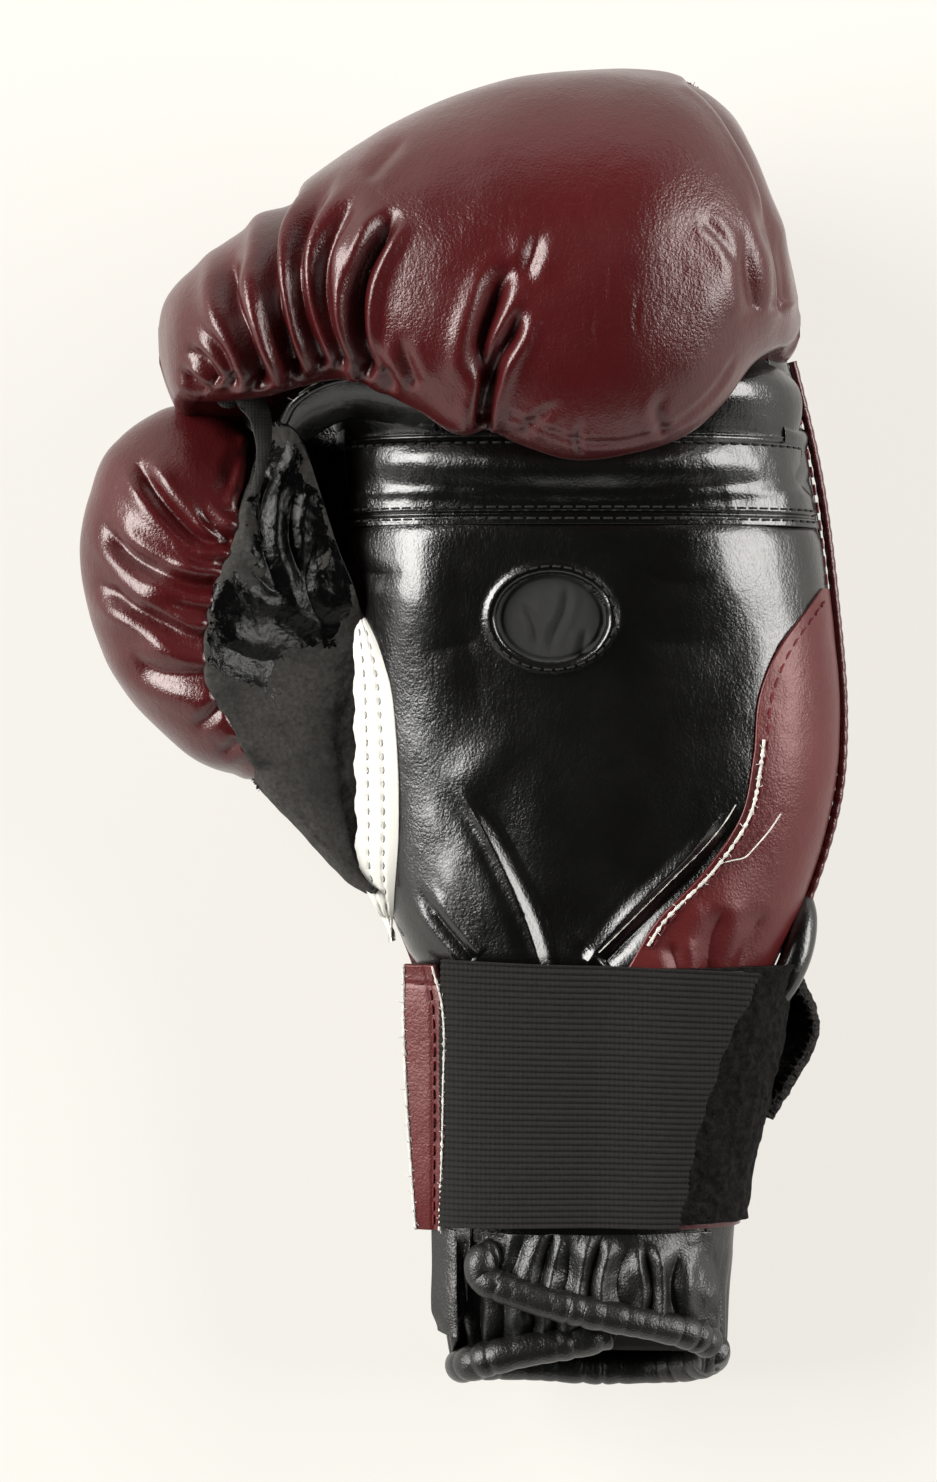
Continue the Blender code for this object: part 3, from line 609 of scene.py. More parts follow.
def fist_grid(rows, columns):
    """Hooked sections across the fist, from the thumb side: over the back, round the front, to the lip."""
    first, last = FIST[0][0], FIST[-1][0]
    xs = (first + last) / 2 - (last - first) / 2 * np.cos(spread(0, math.pi, rows))
    front, lip, low, high, tuck = np.moveaxis(along(FIST, xs), -1, 0)
    wide, tall = front - lip, high - low
    deep = 0.13 * wide * tuck
    corners = (
        (lip - 2 - 8 * tuck, low + 0.13 * tall),
        (lip + 0.28 * wide, low),
        (lip + 0.62 * wide, low + 0.03 * tall),
        (front - 0.15 * wide, low + 0.14 * tall),
        (front - 0.03 * wide, low + 0.34 * tall),
        (front, low + 0.52 * tall),
        (front - 0.07 * wide, low + 0.74 * tall),
        (front - 0.24 * wide, low + 0.91 * tall),
        (front - 0.50 * wide, high),
        (lip + 0.20 * wide, high - 0.03 * tall),
        (lip + 0.04 * wide, high - 0.11 * tall),
        (lip, low + 0.80 * tall),
        (lip + 0.45 * deep, low + 0.70 * tall),
        (lip + deep, low + 0.58 * tall),
        (lip - 2 * (1 - tuck), low + 0.42 * tall),
    )
    grid = np.empty((rows, columns, 3))
    for i, x in enumerate(xs):
        knots = np.array([(y[i], z[i]) for y, z in corners])
        ring = np.concatenate([knots, knots[:1]])
        fine = []
        for k in range(len(knots)):
            a, b, c, d = (knots[(k + o) % len(knots)] for o in (-1, 0, 1, 2))
            t = (np.arange(10) / 10)[:, None]
            fine.append(
                0.5 * (
                    2 * b + (c - a) * t + (2 * a - 5 * b + 4 * c - d) * t**2 + (3 * b - a - 3 * c + d) * t**3
                )
            )
        fine = np.concatenate(fine + [ring[:1]])
        run = lengths(fine)
        at = spread(0, run[-1], columns + 1)[:-1]
        grid[i, :, 0] = x
        grid[i, :, 1] = np.interp(at, run, fine[:, 0])
        grid[i, :, 2] = np.interp(at, run, fine[:, 1])
    return grid


def thumb_grid(rows, columns):
    """Rings across the thumb's curved centre line, from its root to its tip."""
    table = [(i, *row) for i, row in enumerate(THUMB)]
    steps = spread(0, len(THUMB) - 1, rows)
    centre = along(table, steps)
    ahead = along(table, steps + 0.1)[:, :2] - along(table, steps - 0.1)[:, :2]
    ahead /= np.linalg.norm(ahead, axis=1)[:, None]
    turn = spread(0, 2 * math.pi, columns + 1)[:-1]
    out = centre[:, 2:3] * power(np.cos(turn), 2 / 2.2)
    up = centre[:, 3:4] * power(np.sin(turn), 2 / 2.2)
    x = centre[:, 0:1] + out * ahead[:, 1:2]
    y = centre[:, 1:2] - out * ahead[:, 0:1]
    flat = unplan(x, y, np.full(x.shape, THUMB_Z))
    return np.concatenate([flat[..., :2], (THUMB_Z + up)[..., None]], axis=-1)


# ---------------------------------------------------------------- the fist

# Creases of the fist on the plan: points, depth, width, fade at the start and at the end.
FIST_CREASES = (
    ([(4, 70), (5, 77), (8, 86), (12, 94), (13, 100)], 5.0, 1.5, 0.02, 0.35),
    ([(5, 78), (4, 87), (6, 96), (9, 104), (14, 109)], 4.2, 2.0, 0.25, 0.4),
    ([(13, 103), (16, 110), (18, 117)], 1.4, 1.6, 0.3, 0.5),
    ([(-21, 82), (-24, 92), (-23.5, 103), (-19.5, 113), (-15, 120)], 5.4, 1.5, 0.05, 0.2),
    ([(-27, 84), (-32, 97), (-32, 110), (-26, 121), (-22, 125)], 3.8, 1.6, 0.05, 0.4),
    ([(-32, 83), (-37, 97), (-38, 110), (-34, 121), (-27, 130)], 3.8, 1.6, 0.05, 0.4),
    ([(-38, 81), (-42, 93), (-44, 106), (-43, 116), (-37, 128)], 4.8, 1.7, 0.05, 0.2),
    ([(-46, 79), (-50, 90), (-54, 101), (-52, 112)], 4.8, 1.9, 0.05, 0.3),
    ([(-40, 79), (-41, 88), (-45, 96)], 1.6, 1.2, 0.05, 0.6),
    ([(-52, 79), (-55, 87), (-60, 94)], 2.6, 1.4, 0.1, 0.5),
    ([(-56, 80), (-60, 86), (-64, 89)], 2.6, 1.4, 0.1, 0.5),
    ([(-59, 78), (-63, 81), (-66, 84)], 1.8, 1.2, 0.1, 0.5),
    ([(-10, 80), (-13, 88), (-14, 93)], 1.4, 1.4, 0.1, 0.6),
    ([(-15, 79), (-19, 87), (-20, 94)], 2.2, 1.4, 0.1, 0.6),
    ([(13, 68), (18, 73), (24, 76)], 0.9, 1.0, 0.2, 0.5),
    ([(27, 64), (26, 68), (28, 72)], 0.9, 0.8, 0.1, 0.5),
    ([(46, 68), (44, 74), (47, 79)], 0.8, 1.2, 0.1, 0.5),
    ([(66, 96), (64, 106), (63, 118)], 1.6, 2.0, 0.1, 0.5),
    ([(71, 96), (70, 108), (67, 124)], 2.2, 1.8, 0.1, 0.4),
    ([(74, 98), (73, 106), (71, 116)], 1.6, 1.4, 0.1, 0.4),
    ([(50, 151), (57, 145), (64, 134), (69, 120), (72, 106), (73, 95)], 1.3, 0.7, 0.05, 0.05),
    ([(9, 74), (16, 71), (25, 67.5), (36, 67), (48, 71), (56, 78), (62, 88)], 0.7, 0.6, 0.05, 0.1),
    ([(30, 96), (29, 92), (30.5, 88)], 0.5, 0.4, 0.2, 0.3),
    ([(33, 108), (32, 101), (32.5, 97)], 0.35, 0.4, 0.2, 0.3),
    ([(40, 100), (39, 95), (40, 91)], 0.3, 0.4, 0.2, 0.3),
    ([(54, 118), (58, 113), (61, 106)], 0.6, 1.0, 0.2, 0.3),
    ([(-23, 126), (-18, 132), (-12, 138)], 0.9, 1.4, 0.2, 0.4),
)
# Swellings of the fist: plan x and y, radii, height, turn.
FIST_BUMPS = (
    (-8, 92, 15, 22, 2.6, -12),
    (36, 92, 26, 22, 1.6, 8),
    (-1, 73, 5, 5, 1.0, 0),
    (-48, 92, 7, 16, 1.5, 12),
    (-61, 92, 5, 9, 1.3, 30),
    (-40, 104, 3, 16, 0.9, 6),
    (-29, 103, 3, 16, 0.9, 4),
    (-23, 103, 3, 15, 0.9, 0),
    (60, 104, 7, 20, 1.6, -10),
    (70, 106, 4, 14, 1.2, -8),
)


def sculpt(grid, normal, creases, bumps):
    """Creases and swellings on the side of a skin that faces up."""
    spots = plan(grid)
    facing = ease((normal[..., 2] + 0.25) / 0.5)
    height = np.zeros(grid.shape[:-1])
    for points, depth, width, start, end in creases:
        height += crease(spots, points, depth, width, start, end)
    for x, y, rx, ry, tall, turn in bumps:
        height += bump(spots, x, y, rx, ry, tall, turn)
    return height * facing


def relaxed(grid, wrap=True, rounds=1):
    """Softens a grid without moving its edges."""
    for _ in range(rounds):
        inner = grid.copy()
        inner[1:-1] += 0.25 * (grid[:-2] + grid[2:] - 2 * grid[1:-1])
        if wrap:
            inner += 0.25 * (np.roll(grid, 1, 1) + np.roll(grid, -1, 1) - 2 * grid)
        grid = inner
    return grid


fist = relaxed(fist_grid(int(420 * FINE), int(420 * FINE)), rounds=6)
fist_normal = ring_normals(fist)
height = sculpt(fist, fist_normal, FIST_CREASES, FIST_BUMPS)
height += rough(fist, 34.0, 0.8, 1) + rough(fist, 12.0, 0.22, 2)
fist = relaxed(moved(fist, fist_normal, height), rounds=1)
fist_skin = closed("fist_skin", fist, MAROON, "glove")
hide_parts("fist_leather", "fist_padding")


# ---------------------------------------------------------------- the thumb

THUMB_CREASES = (
    ([(-53, 43), (-60, 44), (-68, 51), (-73, 58), (-75.5, 63)], 3.0, 1.5, 0.03, 0.25),
    ([(-52, 44), (-56, 46), (-62, 51.5)], 2.4, 1.2, 0.03, 0.4),
    ([(-56, 34), (-61, 33.5), (-69, 36), (-78, 41), (-84, 49)], 3.0, 1.6, 0.03, 0.25),
    ([(-54, 39), (-60, 39), (-66, 42)], 2.0, 1.2, 0.03, 0.5),
    ([(-58, 22), (-61, 21.5), (-68, 24), (-77, 29), (-85.5, 35)], 2.8, 1.5, 0.03, 0.25),
    ([(-58, 27), (-63, 28), (-69, 31)], 1.6, 1.2, 0.03, 0.5),
    ([(-58, 18), (-63, 19), (-71, 23)], 1.6, 1.3, 0.03, 0.5),
    ([(-58, 13), (-65, 12.5), (-72, 14), (-78, 21)], 1.6, 2.0, 0.03, 0.4),
    ([(-47.5, 68), (-49, 60), (-51, 50)], 2.6, 1.3, 0.1, 0.1),
    ([(-50, 66), (-53, 60), (-55, 53)], 1.0, 1.6, 0.2, 0.4),
    ([(-56, 6), (-59, 3), (-63, 0)], 1.6, 1.3, 0.03, 0.5),
    ([(-52, -2), (-54, -4), (-57, -5)], 1.2, 1.2, 0.03, 0.5),
)
THUMB_BUMPS = (
    (-74, 52, 6, 12, 1.4, 28),
    (-64, 60, 8, 7, 1.0, 0),
    (-72, 31, 12, 3.5, 1.0, 28),
    (-70, 19, 10, 3, 0.9, 16),
    (-64, 38, 8, 2.5, 0.9, 20),
    (-62, 7, 9, 4, 0.8, -20),
)

# The gusset's edges on the plan, as (y, x): the seam on the thumb, and the edge beside the palm.
THUMB_SEAM = (
    (-37, -21.5), (-34, -25.5), (-25, -35.3), (-18, -41.0), (-11, -46.8), (-6, -50.0), (0, -53.5),
    (5, -56.5), (10, -58.8), (21, -60.0), (32, -57.5), (42, -54.0), (53, -51.0), (62, -48.0), (70, -45.5),
)
PALM_SEAM = (
    (-37, -18.0), (-30, -19.5), (-20, -22.0), (-11, -23.2), (0, -24.0), (12, -24.2), (22, -24.4),
    (32, -26.5), (42, -30.5), (53, -34.0), (62, -37.0), (70, -40.5),
)


def border(points, ys):
    return along(points, ys)[..., 0]


def laid_on(surface, spots, lift=0.0):
    """Points over places on the plan, at the height of the nearest points of a surface."""
    flat = surface.reshape(-1, 3)
    under = plan(flat)
    places = np.asarray(spots, float).reshape(-1, 2)
    z = np.empty(len(places))
    for i, place in enumerate(places):
        away = ((under - place) ** 2).sum(1)
        near = np.argpartition(away, 5)[:5]
        weight = 1 / (away[near] + 0.02)
        z[i] = (flat[near, 2] * weight).sum() / weight.sum()
    z = z.reshape(np.shape(spots)[:-1]) + lift
    x, y = np.moveaxis(np.asarray(spots, float), -1, 0)
    return unplan(x, y, z)


thumb = relaxed(thumb_grid(int(260 * FINE), int(300 * FINE)), rounds=3)
thumb_normal = ring_normals(thumb)
thumb_top = thumb[thumb_normal[..., 2] > 0.02]
height = sculpt(thumb, thumb_normal, THUMB_CREASES, THUMB_BUMPS)
height += rough(thumb, 26.0, 0.7, 3) + rough(thumb, 9.0, 0.2, 4)
spots = plan(thumb)
covered = ease((spots[..., 0] - border(THUMB_SEAM, spots[..., 1]) - 0.2) / 3.5)
covered = np.maximum(covered * ease((thumb_normal[..., 2] + 0.6) / 0.5), ease((-10.5 - spots[..., 1]) / 4))
depth = 3.6 + 0.5 * np.clip(spots[..., 0] - border(THUMB_SEAM, spots[..., 1]), 0, 20)
thumb = relaxed(moved(thumb, thumb_normal, height * (1 - covered) - depth * covered))
thumb_skin = closed("thumb_skin", thumb, MAROON, "thumb")
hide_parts("thumb_leather", "thumb_padding")


# ---------------------------------------------------------------- the hand

CREST = 2.45


def hand_point(y, angle, grow=0.0):
    """The trunk with a rounder palm than its padding's block."""
    return trunk_point(y, angle, grow, CREST, 2.6)


def hand_angle(y, x):
    """The angle of the palm side at an x."""
    left, right, _, _, _ = np.moveaxis(along(TRUNK, y), -1, 0)
    share = np.clip((x - (left + right) / 2) / ((right - left) / 2), -0.9995, 0.9995)
    return np.arccos(power(share, CREST / 2))


def hand_patch(ys, first, last, columns, grow=0.0):
    return hand_point(np.asarray(ys)[:, None], between(first, last, int(columns * FINE)), grow)


def upward(grid):
    """Normals of a patch, turned so that most of them face up."""
    normal = normals(grid)
    return normal if normal[..., 2].mean() > 0 else -normal


# Borders of the palm, as (y, x).
PALM_RIGHT = (
    (-60, 35), (-54, 38.6), (-43.5, 45), (-32, 56), (-20, 64), (-6, 67), (8, 68.5), (19, 73), (27, 79),
    (34, 84.5),
)
STRIP_RIGHT = (
    (-60, -12.5), (-50, -16.4), (-40, -16.2), (-25, -15.1), (-10, -15.1), (0, -15.7), (10, -16.8),
    (20, -19.6), (30, -24.6),
)
STRIP_LEFT = (
    (-50, -17.0), (-46, -18.2), (-40, -21.2), (-33, -24.2), (-20, -24.9), (0, -25.3), (20, -25.4),
    (30, -25.6),
)


VENT_X, VENT_Y, VENT_RX, VENT_RY = 20.1, 26.0, 12.6, 10.2

PALM_CREASES = (
    ([(2, -11), (9, -22), (15, -34), (20, -46), (22, -58)], 1.3, 4.0, 0.3, 0.02),
    ([(-11, -35), (-7, -42), (2, -53)], 1.0, 1.1, 0.4, 0.02),
    ([(64, -18), (55, -31), (43, -43), (32, -54)], 1.8, 2.4, 0.3, 0.02),
    ([(0, 44), (-1, 28), (3, 10), (2, -4)], 0.6, 6.0, 0.3, 0.5),
    ([(-28, 40), (-20, 36), (-12, 37)], 0.5, 1.8, 0.2, 0.5),
    ([(-3, -11), (4, -22), (10, -34), (15, -46), (18, -56)], -0.8, 1.1, 0.3, 0.02),
    ([(61, -17), (51, -29), (39, -41), (28, -54)], -0.9, 1.2, 0.3, 0.02),
    ([(38, 38), (48, 34), (58, 35)], 0.5, 2.0, 0.4, 0.4),
    ([(38, 22), (50, 20), (60, 22)], 0.4, 2.5, 0.4, 0.4),
    ([(-10, 18), (0, 20), (6, 22)], 0.4, 2.5, 0.4, 0.4),
)
PALM_BUMPS = (
    (-8, 33, 10, 14, 2.1, 4),
    (54, 36, 15, 11, 2.0, 0),
    (27, -44, 10, 14, -1.6, 10),
    (4, -8, 9, 5, 0.7, 30),
)


def in_vent(spots, grow=0.0):
    """1 inside the vent and 0 outside, with a narrow edge."""
    dx, dy = (spots[..., 0] - VENT_X) / (VENT_RX + grow), (spots[..., 1] - VENT_Y) / (VENT_RY + grow)
    return ease((1.0 - np.hypot(dx, dy)) * 11 + 0.5)


ys = finely(-60, 48.2, 330)
sides = along(TRUNK, ys)
blend = ease((ys - 26) / 9)
right = border(PALM_RIGHT, ys) * (1 - blend) + (sides[:, 1] - 0.6) * blend
blend = ease((ys - 22) / 9)
left = (border(STRIP_RIGHT, ys) - 0.6) * (1 - blend) + (sides[:, 0] + 1.6) * blend
right, left = hand_angle(ys, right), hand_angle(ys, left)
palm = hand_patch(ys, right, left, 330)
palm_normal = upward(palm)
height = sculpt(palm, palm_normal, PALM_CREASES, PALM_BUMPS)
height += rough(palm, 30.0, 0.7, 5) + rough(palm, 10.0, 0.20, 6)
height -= 1.4 * hump(palm[..., 1], 49.5, 3.2)
under_strap = ease((palm[..., 1] + 56.5) / 6)
height = np.minimum(height, height * under_strap) - 1.0 * (1 - under_strap)
palm = moved(palm, palm_normal, height)
spots = plan(palm)
rim = np.hypot((spots[..., 0] - VENT_X) / (VENT_RX + 1.6), (spots[..., 1] - VENT_Y) / (VENT_RY + 1.6))
palm = moved(palm, palm_normal, 0.7 * hump(rim, 1.0, 0.09) - 3.4 * in_vent(spots))
palm_skin = slab("palm_skin", palm, 1.2, BLACK, "glove", normal=palm_normal)
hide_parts("palm_panel", "hand_padding")


# The vent's lining: dark cloth sunk in the hole, with loose folds.
RINGS, AROUND = 40, 96
RIM, UNDER = (RINGS - 1) * AROUND, RINGS * AROUND
turn = spread(0, 2 * math.pi, AROUND + 1)[:-1]
rings = spread(0.02, 1.10, RINGS)
lining = np.stack(
    [
        VENT_X + VENT_RX * rings[:, None] * np.cos(turn)[None, :],
        VENT_Y + VENT_RY * rings[:, None] * np.sin(turn)[None, :],
    ],
    axis=-1,
)
turned = spread(0, 2 * math.pi, 120)
around = np.column_stack([VENT_X + 14.6 * np.cos(turned), VENT_Y + 11.9 * np.sin(turned)])
near_vent = np.hypot(spots[..., 0] - VENT_X, spots[..., 1] - VENT_Y) < 18
folds = sum(
    crease(lining, line, 0.7, 0.9, 0.3, 0.4)
    for line in (
        [(13, 30), (16, 24), (17, 17)],
        [(24, 35), (23, 28), (20, 20), (21, 16)],
        [(28, 24), (27, 19), (26, 15)],
    )
)
folds += 1.5 - 1.9 * ease((rings[:, None] - 0.86) / 0.2)
lining = laid_on(palm[near_vent], lining, folds)
ring_thread = bundle(
    "vent_stitches", stitches([laid_on(palm[near_vent], around, 0.2)], 0.25, 1.7, 0.9, 0.24), THREAD_BLACK,
    "glove",
)
VENT_CLOTH = cloth("vent_cloth", (0.009, 0.009, 0.009), (0.006, 0.006, 0.006), 0.6, 1300, 0.4)
vent_cloth = piece(
    "vent_cloth",
    np.concatenate([lining.reshape(-1, 3), lining.reshape(-1, 3) - [0, 0, 0.8]]),
    quads(RINGS, AROUND, True, True)
    + quads(RINGS, AROUND, True, False, UNDER)
    + [
        [RIM + j, RIM + (j + 1) % AROUND, UNDER + RIM + (j + 1) % AROUND, UNDER + RIM + j]
        for j in range(AROUND)
    ]
    + [[UNDER + j for j in range(AROUND)], [AROUND - 1 - j for j in range(AROUND)]],
    VENT_CLOTH,
    "glove",
)
facing_out(vent_cloth)
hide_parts("vent_lining")


# ---------------------------------------------------------------- the grip bar and the panel above it


ys = finely(47.0, 67.6, 120)
side = along(TRUNK, ys)
bar = hand_patch(ys, hand_angle(ys, side[:, 1] - 0.5), hand_angle(ys, side[:, 0] + 0.8), 360)
# One full roll, and a low shoulder beside it that ends at a double seam.
y = bar[..., 1] + 0.7 * np.sin(bar[..., 0] / 17.0)
height = 4.4 * hump(y, 60.6, 5.6) + 0.3 * hump(y, 54.0, 1.4) + 0.3
height -= 5.0 * ((bar[..., 0] - 25.0) / 50.0) ** 2 * hump(y, 60.2, 6.0)
height -= 0.8 * hump(bar[..., 1], 49.4, 0.5) + 0.9 * hump(bar[..., 1], 66.8, 0.9)
height += rough(bar, 16.0, 0.6, 8) + rough(bar, 4.0, 0.12, 9)
bar, bar_skin = relief("grip_bar_skin", bar, height, 1.2, BLACK)
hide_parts("grip_bar_cover", "grip_bar_core")
rows = []
for y in (48.2, 50.8, 65.4):
    k = int(np.argmin(np.abs(ys - y)))
    row = bar[k, 4:-4]
    rows.append(row[row[:, 2] > 44])
bar_thread = bundle("grip_bar_stitches", stitches(rows, 0.30, 2.0, 0.9, 0.26), THREAD_BLACK, "glove")

ys = finely(67.0, 88.0, 90)
side = along(TRUNK, ys)
upper = hand_patch(ys, hand_angle(ys, side[:, 1] - 1.4), hand_angle(ys, side[:, 0] - 2.0), 300)
height = -1.2 * hump(upper[..., 1], 67.0, 2.5) + 2.4 * ease((upper[..., 1] - 68) / 9)
height -= 3.0 * ease((upper[..., 1] - 78) / 8) + rough(upper, 12.0, 0.7, 10)
upper, upper_skin = relief("upper_palm_skin", upper, height, 1.2, BLACK)
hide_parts("upper_palm_panel")

# The bound edge under the lip, on the thumb side.
arc = [(-41, 70, 66), (-38, 74.5, 70), (-31, 78.5, 73), (-23, 79.5, 74), (-14, 76.5, 73.5), (-7, 73, 72)]
binding = rope("edge_binding", curve(arc, 60), 1.15, BLACK, "glove", 10)
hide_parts("palm_edge_binding")
lip_edge = raw_edge("lip_raw_edge", curve(arc, 90) + [0.0, 0.7, 0.9], 0.22, "glove", 13, 10)
flap_top = curve(arc, 60)
flap_low = curve(
    [(-36, 66, 58), (-31, 69, 61), (-25, 71, 63), (-18, 70, 64), (-12, 69, 64), (-6, 68, 64)], 60,
)
share = spread(0, 1, 24)[:, None, None]
gusset = flap_top[None] * (1 - share) + flap_low[None] * share
gusset[..., 2] += 1.6 * np.sin(math.pi * share[..., 0]) + rough(gusset, 8.0, 0.5, 11)
finger_gusset = slab("finger_gusset", gusset, 0.9, BLACK, "glove", normal=upward(gusset))


# ---------------------------------------------------------------- the panels on the little-finger side


def side_angle(y, z, right_side=True):
    """The angle of the hand's side at a height."""
    _, _, low, high, _ = np.moveaxis(along(TRUNK, y), -1, 0)
    share = np.clip((z - (low + high) / 2) / ((high - low) / 2), -0.99, 0.99)
    exponent = np.where(share > 0, CREST, 2.6)
    angle = np.arcsin(power(share, exponent / 2))
    return angle if right_side else math.pi - angle


SEAM_Z = 34.5
ys = finely(-60, 33.0, 260)
ulnar = hand_patch(
    ys, side_angle(ys, SEAM_Z), hand_angle(ys, border(PALM_RIGHT, ys) - 1.2), 160, 0.5,
)
ulnar_normal = upward(ulnar)
height = sculpt(
    ulnar,
    ulnar_normal,
    (
        ([(60, -40), (57, -48), (56, -58)], 1.4, 2.4, 0.3, 0.1),
        ([(70, -40), (65, -50), (62, -58)], 1.0, 2.6, 0.3, 0.2),
        ([(47, -48), (49, -54), (50, -60)], 1.2, 1.6, 0.3, 0.1),
    ),
    ((76, 0, 8, 24, 0.6, -4), (58, -40, 9, 7, 0.8, 30)),
)
height += rough(ulnar, 24.0, 0.3, 12) + rough(ulnar, 7.0, 0.08, 13)
ulnar = moved(ulnar, ulnar_normal, height)
side_skin = slab("side_panel_skin", ulnar, 1.3, PANEL, "glove", normal=ulnar_normal)
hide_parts("side_panel")

ys = finely(32.0, 90.0, 160)
right = along(TRUNK, ys)[:, 1]
under = (-0.9 * ease((68 - ys) / 4) + 0.3)[:, None]
shoulder = hand_patch(ys, side_angle(ys, SEAM_Z), hand_angle(ys, right - 5.5), 90, under)
shoulder_normal = upward(shoulder)
height = rough(shoulder, 14.0, 0.8, 14) + sculpt(
    shoulder,
    shoulder_normal,
    (
        ([(72, 74), (76, 71), (80, 70)], 1.2, 1.0, 0.1, 0.1),
        ([(80, 60), (78, 52), (80, 44)], 0.6, 1.6, 0.2, 0.3),
    ),
    (),
)
shoulder = moved(shoulder, shoulder_normal, height)
shoulder_skin = slab("shoulder_skin", shoulder, 1.2, BLACK, "glove", normal=shoulder_normal)
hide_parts("shoulder_panel")

# The back of the hand, from seam to seam, and the wall that faces the thumb.
ys = finely(-60, 92, 200)
back = hand_patch(ys, side_angle(ys, SEAM_Z, False), 2 * math.pi + side_angle(ys, SEAM_Z), 260)
back_normal = downward(back)
height = rough(back, 30.0, 0.8, 15) * ease((back[..., 2] - 3) / 8)
back = moved(back, back_normal, height)
back_skin = slab("back_skin", back, 1.3, MAROON, "glove", normal=back_normal)
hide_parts("back_panel")

ys = finely(-60, 84, 160)
web_top = hand_angle(
    ys, np.where(ys < 30, border(STRIP_LEFT, np.minimum(ys, 30)) + 0.5, along(TRUNK, ys)[:, 0] + 2.4),
)
web = hand_patch(ys, web_top, side_angle(ys, SEAM_Z - 0.5, False), 50, -0.3)
web, web_skin = relief("thumb_web_skin", web, rough(web, 12.0, 0.6, 16), 1.2, BLACK)
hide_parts("thumb_web_panel")

# The white strip beside the palm: flat leather, laid over the edge of the gusset.


def strip_point(ys, share):
    """A point of the strip: share 0 is beside the palm and 1 is the free edge."""
    first, last = border(STRIP_RIGHT, ys), border(STRIP_LEFT, ys)
    x = first * (1 - share) + last * share
    top = hand_point(ys, hand_angle(ys, first), 0.9)[..., 2]
    z = top + 0.5 * np.sin(math.pi * share) - 0.33 * (first - x) - 0.6 * share**3
    return surface(x, ys, z)


ys = finely(-49, 29, 320)[:, None]
share = spread(0, 1, 44)[None, :]
# The free edge is torn and a little ragged.
ragged = 1 + (0.006 * np.sin(ys * 2.3) + 0.03 * np.sin(ys * 0.7 + 1)) * share**4
strip = strip_point(ys, share * ragged)
groove = -0.22 * hump(share, 0.36, 0.06) - 0.22 * hump(share, 0.72, 0.06)
puff = 1 + 0.5 * np.sin(strip[..., 1] * 2 * math.pi / 3.2)
strip, white_strip = relief("white_strip", strip, groove * puff + rough(strip, 9.0, 0.3, 17), 1.0, WHITE)
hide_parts("white_trim")

ys = spread(-38, 25, 240)
rows = [strip_point(ys, np.full(240, part)) for part in (0.36, 0.72)]
strip_thread = bundle("strip_stitches", stitches(rows, 0.0, 1.6, 1.6, 0.16), THREAD_GREY, "glove")

ys = spread(-50, 30, 220)
hem = hand_point(ys, hand_angle(ys, border(PALM_RIGHT, ys) + 1.4), 0.75)
hem_thread = bundle("side_stitches", stitches([hem], 0.25, 2.4, 1.2, 0.30), THREAD_RED, "glove")

# The welt on the little-finger side: a scalloped maroon edge, pulled in by each stitch.
ys = spread(-52, 86, 420)
edge = hand_point(ys, side_angle(ys, SEAM_Z + 1.5), 1.0)
edge[:, 0] += 0.5
scallop = 0.95 + 0.16 * np.abs(np.sin(ys * math.pi / 3.4))
welt = rope("side_welt_skin", edge, scallop, MAROON, "glove", 10)
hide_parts("side_welt")
welt_line = edge + [-1.6, 0, 1.3]
welt_thread = bundle("welt_stitches", stitches([welt_line], 0.1, 2.4, 1.8, 0.32), THREAD_RED, "glove")


# ---------------------------------------------------------------- the thumb's gusset and tether

rows, columns = int(260 * FINE), int(200 * FINE)
ys = spread(-37.0, 70.0, rows)
seam_x, palm_x = border(THUMB_SEAM, ys), border(PALM_SEAM, ys)
seam = laid_on(thumb_top, np.column_stack([seam_x, ys]))
free = ease((-7 - ys) / 5)
high = np.maximum(seam[:, 2] + 0.5, 46.0) * (1 - free) + (44.0 + 8.0 * ease((ys + 37) / 24)) * free
low = along(
    (
        (-37, 40.0), (-20, 42.0), (0, 43.0), (12, 45.0), (24, 49.0), (32, 53.0), (42, 55.0), (53, 56.5),
        (70, 58.0),
    ),
    ys,
)[:, 0]
share = spread(0, 1, columns)[None, :]
# Across: a skirt down the thumb's side, the seam, then over to the palm.
at = [0.0, 0.14, 0.24, 0.45, 0.72, 1.0]
x = np.stack(
    [seam_x + 1.2 * (1 - free), seam_x - 1.0 * free, seam_x * 1.0 + 1.2, seam_x * 0.7 + palm_x * 0.3,
     seam_x * 0.35 + palm_x * 0.65, palm_x + 1.5],
    axis=1,
)
z = np.stack(
    [
        high - 3.0 - 22.0 * free, high - 1.2 - 5.0 * free, high, high * 0.62 + low * 0.38 + 1.0,
        high * 0.2 + low * 0.8 + 0.8, low,
    ],
    axis=1,
)
x = np.array([along(np.column_stack([at, row]), share[0])[:, 0] for row in x])
z = np.array([along(np.column_stack([at, row]), share[0])[:, 0] for row in z])
web_cloth = unplan(x, np.broadcast_to(ys[:, None], x.shape), z)
web_cloth_normal = upward(web_cloth)
height = sculpt(
    web_cloth,
    web_cloth_normal,
    (
        ([(-45, 62), (-47, 50), (-45, 38), (-40, 28)], 1.8, 1.5, 0.1, 0.4),
        ([(-39, 56), (-40, 44), (-36, 32)], 1.6, 1.3, 0.1, 0.4),
        ([(-52, 42), (-45, 33), (-38, 30)], 1.2, 1.5, 0.2, 0.4),
        ([(-56, 20), (-46, 16), (-38, 18)], 1.0, 1.6, 0.2, 0.4),
        ([(-34, 46), (-36, 32), (-30, 20)], 1.2, 1.6, 0.2, 0.4),
        ([(-48, 4), (-40, -4), (-36, -14)], 0.7, 2.4, 0.2, 0.4),
    ),
    ((-50, 26, 6, 9, 1.2, 0), (-40, -10, 7, 12, 1.2, 30), (-38, 8, 6, 9, 0.8, 0)),
)
height += rough(web_cloth, 14.0, 1.0, 18) + rough(web_cloth, 4.5, 0.3, 19)
